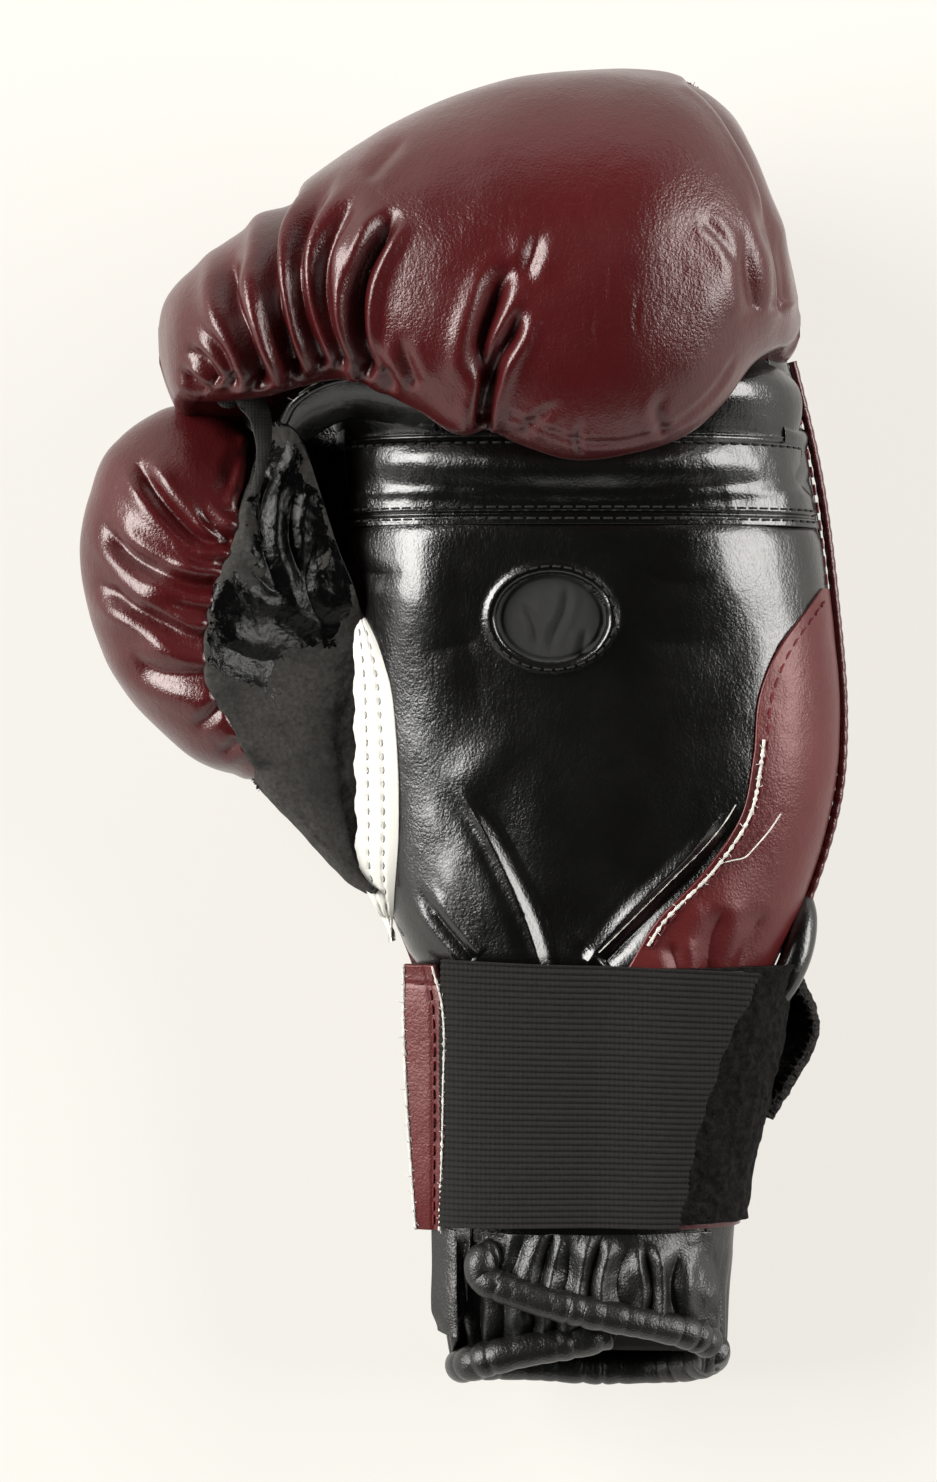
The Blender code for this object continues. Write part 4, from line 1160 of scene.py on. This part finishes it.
web_cloth = moved(web_cloth, web_cloth_normal, height)


def peeled(name):
    """Grey suede backing, with what is left of its glossy black finish in ragged flakes."""
    paint = Paint(name, (0.045, 0.043, 0.040), 0.9, Specular_IOR_Level=0.22)
    film = None
    for x, y, rx, ry, turn in (
        (-40, 48, 7.5, 18, 10), (-49, 23, 9.5, 13, 0), (-39, 30, 10, 11, 0), (-30, 32, 3.5, 12, -14),
    ):
        oval = paint.add("ShaderNodeMapping", vector_type="TEXTURE")
        oval.inputs["Location"].default_value = (x * MM, y * MM, 0)
        oval.inputs["Rotation"].default_value = (0, 0, math.radians(turn))
        oval.inputs["Scale"].default_value = (rx * MM, ry * MM, 1000)
        paint.link(paint.place, oval.inputs["Vector"])
        reach = paint.add("ShaderNodeVectorMath", operation="LENGTH")
        paint.link(oval.outputs["Vector"], reach.inputs[0])
        near = reach.outputs["Value"]
        film = near if film is None else paint.maths("MINIMUM", film, near)
    torn = paint.maths("ADD", film, paint.ramp(paint.noise(130, 5.0, 0.65), 0.3, 0.7, -0.42, 0.42))
    film = paint.ramp(torn, 1.0, 0.98, 0.0, 1.0)
    nap = paint.mix(
        paint.ramp(paint.noise(900, 4.0, 0.7), 0.3, 0.7, 0.0, 1.0), (0.018, 0.0172, 0.016),
        (0.050, 0.047, 0.042),
    )
    stain = paint.mix(paint.ramp(paint.noise(60, 4.0), 0.45, 0.75, 0.0, 0.8), nap, (0.012, 0.0115, 0.011))
    paint.colour(paint.mix(film, stain, (0.0015, 0.0015, 0.0015)))
    paint.roughness(paint.ramp(film, 0.0, 1.0, 0.9, 0.20))
    paint.bumps(paint.noise(120, 3.0, 0.45), 0.7, 0.0030)
    paint.bumps(film, 1.0, 0.0014)
    paint.bumps(paint.noise(700, 4.0, 0.7), 0.6, 0.0005)
    return paint.material


SUEDE = peeled("peeling_suede")
gusset_skin = slab("thumb_gusset_skin", web_cloth, 1.0, SUEDE, None, normal=web_cloth_normal)
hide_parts("thumb_gusset")
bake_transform(gusset_skin)

# A black leather sheet low behind the gusset, between the thumb and the hand. It fills the gap into the
# glove's cavity with a dark surface and stands in for the shade there.
ys = finely(24, 82, 90)
share = shares(60)
first = along(((24, -23.0), (50, -27.0), (82, -20.0)), ys)
last = along(((24, -34.0), (50, -46.0), (82, -50.0)), ys)
x = first * (1 - share) + last * share
cavity_shade_sheet = surface(x, ys[:, None], 38.0 + 3.0 * np.cos(math.pi * share))
cavity_shade_sheet, cavity_shade_sheet_skin = relief(
    "cavity_shade_sheet", cavity_shade_sheet, rough(cavity_shade_sheet, 12.0, 1.2, 33), 1.2, BLACK, None
)
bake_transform(cavity_shade_sheet_skin)

tuft = raw_edge(
    "thumb_tuft", curve([(-48.5, -10.5, 44), (-47, -12.5, 45), (-45.5, -13.0, 46)], 30), 0.9, "thumb", 4,
    14, 1.6, SUEDE
)
knuckle_tuft = raw_edge(
    "knuckle_tuft", curve([(50.0, 148.0, 58), (52, 147.0, 58), (55.0, 144.5, 58)], 30), 0.6, "glove", 6, 12,
    1.4, MAROON
)

# The tether: a narrow woven loop that ties the thumb's tip to the hand.
WEBBING = cloth("tether_webbing", (0.008, 0.008, 0.0075), (0.020, 0.019, 0.018), 0.85, 420, 0.3)
route = [
    (-54, 73.5, 61), (-52.5, 76, 66), (-49.5, 76, 68.5), (-46.5, 72.5, 68.5), (-45.3, 66.5, 65.5),
    (-46.0, 60, 62.5), (-47.5, 54, 61.0),
]
path = curve(route, 90)
width = along(((0, 1.8), (0.15, 3.2), (0.5, 2.4), (0.75, 1.4), (1, 0.9)), spread(0, 1, 90))[:, 0]
across = spread(-1, 1, 24)
way = np.gradient(path, axis=0)
way /= np.linalg.norm(way, axis=1)[:, None]
aside = np.cross(way, (0.25, 0.1, 1.0))
aside /= np.linalg.norm(aside, axis=1)[:, None]
tape = path[:, None] + aside[:, None] * (width[:, None] * across[None, :])[..., None]
tape, tether = relief(
    "tether_tape", tape, -0.5 * across[None, :] ** 2 + rough(tape, 5.0, 0.4, 31), 1.0, WEBBING, "thumb"
)
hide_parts("thumb_tether")


# ---------------------------------------------------------------- the wrist strap


def flare(angle, y=-60.0):
    """How far the strap stands off the cuff on the little-finger side, most of all near the hand."""
    angle = np.where(angle > math.pi, angle - 2 * math.pi, angle)
    return (0.4 + 3.2 * ease((y + 104) / 34)) * ease(1 - np.abs(angle - 0.1) / 0.9)


STRAP_TOP, STRAP_END = -53.8, -113.8
RIB = 1.4
SEAM_X = -5.2
ELASTIC_RIGHT = (
    (-114.2, 45.6), (-104, 47.6), (-92, 49.4), (-80, 52.6), (-68, 56.4), (-60, 60.0), (-53.4, 62.5),
)


def climb(angle):
    """The elastic's rise over the strap's end and the two fastening patches."""
    return 4.2 * ease((1.60 - angle) / 0.42)


def ribbed(name):
    """Black elastic: cords across its width, with a fine knit between them."""
    paint = Paint(name, (0.010, 0.0095, 0.009), 0.85, Specular_IOR_Level=0.25)
    knit = paint.wave(300, "X", 1.2)
    paint.colour(paint.mix(paint.noise(500, 4.0), (0.0044, 0.0040, 0.0036), (0.0100, 0.0093, 0.0081)))
    paint.bumps(knit, 0.25, 0.0003)
    paint.bumps(paint.noise(1200, 3.0), 0.4, 0.0003)
    return paint.material


ELASTIC = ribbed("elastic_webbing")
ys = finely(STRAP_END - 0.3, STRAP_TOP + 0.3, 520)
share = shares(260)
wavy = border(ELASTIC_RIGHT, ys) + 0.12 * np.sin(ys * 4.4) + 0.25 * np.sin(ys * 0.7)
first, last = angle_at_x(ys, wavy), angle_at_x(ys, np.full(len(ys), SEAM_X + 1.6))
angle = between(first, last, int(260 * FINE))
band = trunk_point(ys[:, None], angle, 2.0 + flare(angle, ys[:, None]) + climb(angle))
# The band's edges bow a little between its fixed ends.
band[..., 1] += (1.2 - 3.4 * (1 - share)) * (ys[:, None] - STRAP_END) / 60.0
band[..., 1] += 0.5 * np.sin(band[..., 0] / 23.0)
ribs = 0.45 * np.abs(np.cos((ys[:, None] - STRAP_END) * math.pi / RIB)) ** 0.8
height = ribs + rough(band, 22.0, 0.8, 20)
band, band_skin = relief("elastic_skin", band, height, 1.2, ELASTIC, None)
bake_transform(band_skin)
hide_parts("elastic_band")

ys = finely(STRAP_END + 1.2, STRAP_TOP - 1.2, 100)
inner = border(ELASTIC_RIGHT, ys) - 1.6
angle = between(angle_at_x(ys, inner), angle_at_x(ys, inner - 11.0), int(60 * FINE))
hook = trunk_point(ys[:, None], angle, 0.4 + flare(angle, ys[:, None]) + climb(angle))
HOOKS = cloth("hook_plastic", (0.022, 0.022, 0.022), (0.012, 0.012, 0.012), 0.5, 900, 0.1)
hook_skin = slab("hook_skin", hook, 0.7, HOOKS, "closure", normal=upward(hook))
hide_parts("hook_patch")

ys = finely(STRAP_END - 0.6, STRAP_TOP - 1.6, 150)
first, last = angle_at_x(ys, np.full(len(ys), SEAM_X - 0.3)), 2 * math.pi + angle_at_x(ys, 48.0)
angle = between(first, last, int(520 * FINE))
strap = trunk_point(ys[:, None], angle, 1.5 + flare(angle, ys[:, None]))
strap_normal = downward(strap)
tab = ease((5.0 - np.linalg.norm(strap - strap[:, :1], axis=-1)) / 4.0)
strap = moved(strap, strap_normal, rough(strap, 18.0, 0.35, 21) + 0.8 * tab)
strap_skin = slab("strap_skin", strap, 1.3, MAROON, "glove", normal=strap_normal)
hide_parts("wrist_strap")


# The strap's end, folded over and stitched as a flat tab beside the elastic. Its cut edges are white.
TAB_LEFT = ((-115.5, -11.2), (-105, -12.0), (-85, -13.3), (-70, -13.9), (-54, -14.0))
TAB_RIGHT = ((-115.5, -5.4), (-105, -5.0), (-85, -4.4), (-63, -4.6), (-54, -7.0))


def tab_point(ys, share, lift=0.0):
    right, left = border(TAB_RIGHT, ys), border(TAB_LEFT, ys)
    x = right * (1 - share) + left * share
    z = trunk_point(ys, angle_at_x(ys, right), 3.0)[..., 2] + 0.8 + lift - 0.55 * (right - x)
    return surface(x, ys, z)


ys = finely(-115.5, -54, 280)[:, None]
share = spread(0, 1, 36)[None, :]
tab = tab_point(ys + 0 * share, share * (1 + 0.03 * np.sin(ys * 0.9)))
dent = -0.25 * hump(share, 0.30, 0.08) - 0.15 * hump(ys, -58.2, 0.6)
tab, tab_skin = relief("strap_tab", tab, dent + rough(tab, 14.0, 0.18, 32), 1.5, PANEL)
ys = spread(-114.5, -57, 200)
down = tab_point(ys, np.full(200, 0.30), 0.05)
over = tab_point(np.full(20, -58.2), spread(0.06, 0.92, 20), 0.05)
tab_thread = bundle("tab_stitches", stitches([down, over], 0.15, 2.3, 1.0, 0.26), THREAD_RED, "glove")


ys = spread(-115.5, -54, 160)
tab_outer = raw_edge("tab_outer_edge", tab_point(ys, np.full(160, 1.0), 0.0), 0.36, "glove", 3, 40)
tab_inner = raw_edge("tab_inner_edge", tab_point(ys, np.full(160, 0.05), 1.0), 0.30, "glove", 5, 40, 1.0)


# The palm's cut edge has come away from the side panel and frays.
ys = spread(-49, -2, 160)
frayed = hand_point(ys, hand_angle(ys, border(PALM_RIGHT, ys) + 0.1), 1.3)
palm_fray = raw_edge("palm_fray", frayed, 0.34, "glove", 7, 34, 1.4)
worn = laid_on(palm, [(62.5, -17), (60, -21), (55, -27), (49, -33), (43, -39), (37, -45), (31, -51)], 0.15)
worn_line = raw_edge("palm_worn_edge", curve(worn, 90), 0.13, "glove", 9)
loose = laid_on(ulnar, [(58.5, -30.5), (61.5, -29.8), (64.6, -29), (67, -26.5), (70, -23), (72.7, -19)], 0.0)
loose[:, 2] += [0.3, 0.8, 1.0, 1.6, 2.2, 2.6]
thread_end = rope("loose_thread", curve(loose, 60), 0.17, RAW, "glove", 6)


def pile(name, painted_light_gain=1.0):
    """Brushed loop pile: matted tufts that take almost no light. painted_light_gain above 1 brightens its
    colours as painted light, for pile that sits in shade.
    """
    paint = Paint(name, (0.005, 0.005, 0.005), 0.95, Specular_IOR_Level=0.1)
    tufts = paint.noise(620, 6.0, 0.75)
    paint.bumps(tufts, 1.0, 0.0014)
    paint.bumps(paint.noise(140, 4.0), 0.7, 0.0020)
    dark, pale = [tuple(painted_light_gain * c for c in rgb) for rgb in ((0.004, 0.0038, 0.0036), (0.019, 0.0175, 0.0165))]
    paint.colour(paint.mix(paint.ramp(tufts, 0.42, 0.70, 0.0, 1.0), dark, pale))
    return paint.material


PILE = pile("loop_pile")
ys = finely(STRAP_END + 0.6, STRAP_TOP - 0.4, 260)
first, last = angle_at_z(ys, 28.0, 1), angle_at_x(ys, 40.0)
angle = between(first, last, int(140 * FINE))
patch = trunk_point(ys[:, None], angle, 3.0 + flare(angle, ys[:, None]))
patch, patch_skin = relief(
    "loop_patch_skin", patch, rough(patch, 2.6, 0.5, 22) + rough(patch, 9.0, 0.6, 23), 1.1, PILE
)
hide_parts("loop_patch")

# A fold of the wrist's leather bulges out where the strap pulls it in.
fold = curve([(79.5, -36, 33), (79.0, -44, 38), (77.0, -52, 41), (73.5, -60, 41), (71.5, -65, 38)], 80)
girth = along(((0, 1.0), (0.25, 3.0), (0.6, 3.6), (0.85, 3.0), (1, 1.6)), spread(0, 1, 80))[:, 0]
wrist_fold = rope("wrist_fold", fold, girth, BLACK, "glove", 24)

# The patch's far corner stands out beside the cuff.
ys = finely(-90, -57, 140)
share = (ys + 90.0) / 33.0
right = along(TRUNK, ys)[:, 1] + 1.0
reach = along(
    ((-90, 70.0), (-87, 72.0), (-80, 76.3), (-76, 79.0), (-70, 81.2), (-66, 81.0), (-60, 78.0), (-57, 74.5)),
    ys,
)[:, 0]
out = reach - right + 0.10 * np.sin(ys * 5.7) + 0.12 * np.sin(ys * 2.3)
across = shares(40)
corner = surface(
    right[:, None] + out[:, None] * across,
    ys[:, None],
    30.0 - 4.0 * (1 - across) + 5.0 * across**2 + 1.5 * np.sin(6 * share)[:, None],
)
corner_normal = upward(corner)
corner = moved(corner, corner_normal, rough(corner, 3.0, 0.5, 24) + rough(corner, 10.0, 0.8, 25))
# The corner's pile and its fringe are painted 4.5 times brighter than the patch's pile. This is painted light
# that makes up for the shade the corner sits in.
CORNER_LIT_PILE = pile("loop_corner_pile_painted_light", 4.5)
corner_skin = slab("loop_corner_skin", corner, 2.2, CORNER_LIT_PILE, "glove", normal=corner_normal)
fringe = raw_edge("loop_fringe", corner[:, -1], 0.30, "glove", 11, 120, 1.8, CORNER_LIT_PILE)
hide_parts("loop_flap")


# ---------------------------------------------------------------- the cuff

CUFF_CREASES = (
    ([(-6, -116), (-5, -124), (-4, -134)], 1.2, 1.2, 0.1, 0.3),
    ([(0, -116), (-1, -126), (1, -138)], 1.4, 1.1, 0.1, 0.3),
    ([(57, -118), (59, -128), (58, -138)], 0.6, 1.6, 0.2, 0.3),
)
ys = finely(-149.0, -57, 260)
mouth = ease((-118 - ys) / 32)
first = angle_at_x(ys, -1.0 + 4.5 * ease((ys + 150) / 30) - 2.0)
last = 2 * math.pi + angle_at_x(ys, np.full(len(ys), 56.0))
angle = between(first, last, int(420 * FINE))
cuff = trunk_point(ys[:, None], angle)
cuff_normal = downward(cuff)
gather = np.abs(np.sin(angle * 15 + 0.8 * np.sin(angle * 4))) ** 0.7 * mouth[:, None]
height = 1.1 * gather * ease((ys[:, None] + 152) / 6) - 0.6 * mouth[:, None]
height += rough(cuff, 16.0, 0.9, 26) + sculpt(cuff, cuff_normal, CUFF_CREASES, ())
cuff = moved(cuff, cuff_normal, height)
cuff_skin = slab("cuff_skin", cuff, 1.3, SOFT, "glove", normal=cuff_normal)
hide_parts("cuff_leather", "cuff_padding")

ys = spread(-118, -57, 60)
wrist = trunk_patch(ys, angle_at_x(ys, np.full(60, 58.0)), angle_at_x(ys, np.full(60, -1.0)), 60, -0.6)
wrist_skin = slab("wrist_skin", wrist, 1.0, BLACK, "glove", normal=upward(wrist))
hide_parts("wrist_panel")

# The cuff's palm side, gathered under the flap, and the flat band at its side.
xs = finely(-4.0, 36.0, 220)
low = along(((-4, -147.0), (6, -144.5), (14, -142.5), (26, -140.3), (36, -138.0)), xs)[:, 0]
share = shares(110)
y = low[:, None] * (1 - share) - 113.0 * share
x = np.broadcast_to(xs[:, None], y.shape)
front = trunk_point(y, angle_at_x(y, x), -1.6)
tucks = sum(
    crease(plan(front), line, depth, width, 0.02, 0.3, 0.5)
    for line, depth, width in (
        ([(2, -146), (3, -134), (1, -118)], 1.3, 0.9),
        ([(7, -144), (9, -136), (8, -126)], 1.1, 1.2),
        ([(13, -143), (16, -137), (15, -130)], 1.2, 1.0),
        ([(20, -142), (21, -137), (20, -131)], 1.2, 1.0),
        ([(25, -141), (28, -136), (26, -131)], 1.0, 1.0),
    )
)
height = tucks + rough(front, 9.0, 1.0, 40) - 2.5 * ease((-134 - y) / 12)
front, front_skin = relief("cuff_front_skin", front, height, 1.0, SOFT)
ys = finely(-139, -114, 90)
share = shares(40)
wide = 6.2 - 1.4 * ease((-134 - ys) / 5)
x = -1.6 - wide[:, None] * share
side_band = surface(x, ys[:, None] - 1.2 * (1 - share), 47.0 - 6.0 * share**1.5)
side_band, side_band_skin = relief(
    "cuff_side_band", side_band, rough(side_band, 10.0, 0.5, 41), 1.4, SOFT
)

# The flap's free edge on the palm side: x, y.
FLAP_EDGE = (
    (4.0, -121.5), (6.0, -124.5), (9.0, -127.0), (17.0, -130.0), (26.0, -132.3), (35.0, -134.2),
    (46.0, -136.6), (58.0, -139.5),
)
xs = finely(4.0, 57.0, 300)
low = along(FLAP_EDGE, xs)[:, 0]
share = shares(100)
y = low[:, None] + (-115.4 - low[:, None]) * share
flap = trunk_point(y, angle_at_x(y, np.broadcast_to(xs[:, None], y.shape)), 0.2)
pleats = sum(
    crease(flap[..., :2], line, depth, width, 0.02, 0.3, 0.6)
    for line, depth, width in (
        ([(9, -129), (12, -122), (14, -115)], 0.9, 1.2),
        ([(17, -131), (18, -124), (21, -113)], 1.3, 1.0),
        ([(22, -132), (24, -124), (24, -116)], 1.0, 1.5),
        ([(29, -134), (29, -126), (32, -114)], 1.5, 1.1),
        ([(37, -135), (35, -127), (38, -117)], 1.1, 1.6),
        ([(42, -136), (43, -128), (41, -116)], 1.5, 1.0),
        ([(49, -137), (47, -128), (50, -118)], 1.4, 1.5),
    )
)
lift = 2.0 * ease((-118 - flap[..., 1]) / 14)
height = pleats + lift + rough(flap, 9.0, 1.3, 27) + rough(flap, 3.5, 0.3, 37)
flap, flap_skin = relief("flap_skin", flap, height, 1.1, SOFT, None)
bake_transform(flap_skin)
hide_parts("cuff_flap")


def gathered_roll(name, path, radius, pitch, body, flat=1.0):
    """A rolled leather edge, nipped in where the gathers are."""
    path = curve(path, 420)
    run = lengths(path)
    wander = run + 0.9 * np.sin(run * 0.41) + 0.3 * np.sin(run * 1.03)
    nip = 0.92 + (0.08 + 0.05 * np.sin(run * 0.23)) * np.abs(np.sin(wander * math.pi / pitch)) ** 0.7
    ends = 0.35 + 0.65 * ease(run / 2.5) * ease((run[-1] - run) / 2.5)
    return rope(name, path, radius * nip * ends, SOFT, body, 22, flat)


flap_path = [
    (8.5, -119.5, 50.5), (4.6, -121.0, 52.0), (4.0, -125.0, 52.5), (9.0, -127.6, 53.6), (17.0, -130.4, 54.2),
    (26.0, -132.6, 54.3), (35.0, -134.6, 53.6), (45.0, -136.8, 51.5), (53.0, -139.2, 48.0),
    (58.0, -142.4, 42.5),
]
flap_roll = gathered_roll("flap_roll", flap_path, 3.8, 4.3, None)
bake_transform(flap_roll)
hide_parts("flap_binding")

ring = [
    (35.0, -138.5, 43.0), (26.0, -140.8, 45.0), (14.0, -143.0, 46.0), (5.0, -145.2, 44.5),
    (0.4, -147.2, 39.0),
    (-0.6, -148.4, 31.0), (0.4, -149.0, 22.0), (6.0, -149.6, 16.5), (18.0, -150.4, 14.0),
    (32.0, -151.0, 13.5),
    (46.0, -150.8, 15.0), (53.5, -149.4, 19.5), (57.4, -147.2, 27.0), (58.2, -145.0, 35.0),
    (57.5, -142.6, 40.0),
]
cuff_roll = gathered_roll("cuff_roll", ring, 4.1, 4.8, "glove")
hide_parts("cuff_binding")

POCKET = (
    (-146.0, 1.0, 57.0, 16.5, 43.5),
    (-131.0, 2.5, 56.0, 21.5, 43.5),
    (-112.0, 0.5, 56.5, 21.0, 47.5),
    (-85.0, -0.5, 58.0, 20.5, 50.5),
    (-56.0, -1.5, 61.0, 22.0, 52.5),
    (-16.0, -8.0, 72.0, 31.0, 56.0),
    (40.0, -15.0, 72.0, 33.0, 58.5),
    (76.0, -18.0, 66.0, 34.0, 60.0),
)
SATIN = cloth("grey_satin", (0.030, 0.028, 0.026), (0.020, 0.019, 0.018), 0.5, 1500, 0.5)
ys = finely(-146, 76, 160)
turn = spread(0, 2 * math.pi, int(140 * FINE) + 1)[:-1]
left, right, low, high = np.moveaxis(along(POCKET, ys), -1, 0)
inside = surface(
    (left + right)[:, None] / 2 + (right - left)[:, None] / 2 * power(np.cos(turn), 2 / 2.4),
    ys[:, None],
    (low + high)[:, None] / 2 + (high - low)[:, None] / 2 * power(np.sin(turn), 2 / 2.4),
)
inside[..., 1] += 12.0 * ease((np.sin(turn)[None, :] - 0.0) / 0.9) * ease((-100 - ys[:, None]) / 40)
inside_normal = normals(inside, True)
if inside_normal[len(ys) // 2, len(turn) // 4, 2] < 0:
    inside_normal = -inside_normal
inside = moved(inside, inside_normal, rough(inside, 14.0, 0.9, 28) - 0.6)
lining_skin = slab("lining_skin", inside, 0.7, SATIN, "glove", wrap=True, normal=inside_normal)
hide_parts("hand_lining")


# ---------------------------------------------------------------- the floor, lights and camera


def area_light(name, place, target, size, power_, colour):
    light = bpy.data.lights.new(name, "AREA")
    light.shape = "RECTANGLE"
    light.size, light.size_y = size
    light.energy = power_
    light.color = colour
    thing = bpy.data.objects.new(name, light)
    thing.location = Vector(place)
    thing.rotation_euler = (Vector(target) - Vector(place)).to_track_quat("-Z", "Y").to_euler()
    bpy.context.scene.collection.objects.link(thing)
    return thing


def floor_and_sky():
    paint = Paint("table", (0.16, 0.157, 0.15), 0.9, Specular_IOR_Level=0.0)
    paint.surface.inputs["Emission Color"].default_value = (1.0, 0.970, 0.905, 1)
    paint.surface.inputs["Emission Strength"].default_value = 0.72
    mesh = bpy.data.meshes.new("table")
    mesh.from_pydata(
        [(-6, -6, -0.0012), (6, -6, -0.0012), (6, 6, -0.0012), (-6, 6, -0.0012)], [], [(0, 1, 2, 3)],
    )
    mesh.materials.append(paint.material)
    table = bpy.data.objects.new("table", mesh)
    bpy.context.scene.collection.objects.link(table)
    world = bpy.data.worlds.new("studio")
    world.use_nodes = True
    bpy.context.scene.world = world
    tree = world.node_tree
    sky = tree.nodes["Background"]
    place = tree.nodes.new("ShaderNodeTexCoord")
    split = tree.nodes.new("ShaderNodeSeparateXYZ")
    fade = tree.nodes.new("ShaderNodeMapRange")
    fade.interpolation_type = "SMOOTHSTEP"
    fade.inputs["From Min"].default_value = 0.12
    fade.inputs["From Max"].default_value = 0.50
    fade.inputs["To Min"].default_value = 1.0
    fade.inputs["To Max"].default_value = 0.0
    tint = tree.nodes.new("ShaderNodeMix")
    tint.data_type = "RGBA"
    sockets = [s for s in tint.inputs if s.type == "RGBA"]
    sockets[0].default_value = (0.012, 0.012, 0.012, 1)
    sockets[1].default_value = (1.0, 0.98, 0.94, 1)
    tree.links.new(place.outputs["Generated"], split.inputs[0])
    tree.links.new(split.outputs["Z"], fade.inputs["Value"])
    tree.links.new(fade.outputs["Result"], tint.inputs["Factor"])
    tree.links.new([s for s in tint.outputs if s.type == "RGBA"][0], sky.inputs["Color"])
    sky.inputs["Strength"].default_value = 1.25


floor_and_sky()
area_light("left_softbox", (-1.90, 0.60, 1.25), (0, 0, 0.04), (2.00, 1.15), 132, (1.0, 0.985, 0.955))
area_light("right_softbox", (2.00, 0.60, 1.15), (0, 0, 0.04), (2.00, 1.10), 86, (1.0, 0.985, 0.955))

camera = bpy.data.cameras.new("camera")
camera.sensor_fit = "VERTICAL"
camera.sensor_height = 36.0
camera.lens = 36.0 * (EYE[2] - PLAN_Z) / 340.9
camera.clip_start = 0.05
eye = bpy.data.objects.new("camera", camera)
eye.location = (EYE[0] * MM, EYE[1] * MM, EYE[2] * MM)
eye.rotation_euler = (0, 0, 0)
bpy.context.scene.collection.objects.link(eye)
bpy.context.scene.camera = eye
bpy.context.scene.view_settings.view_transform = "Standard"
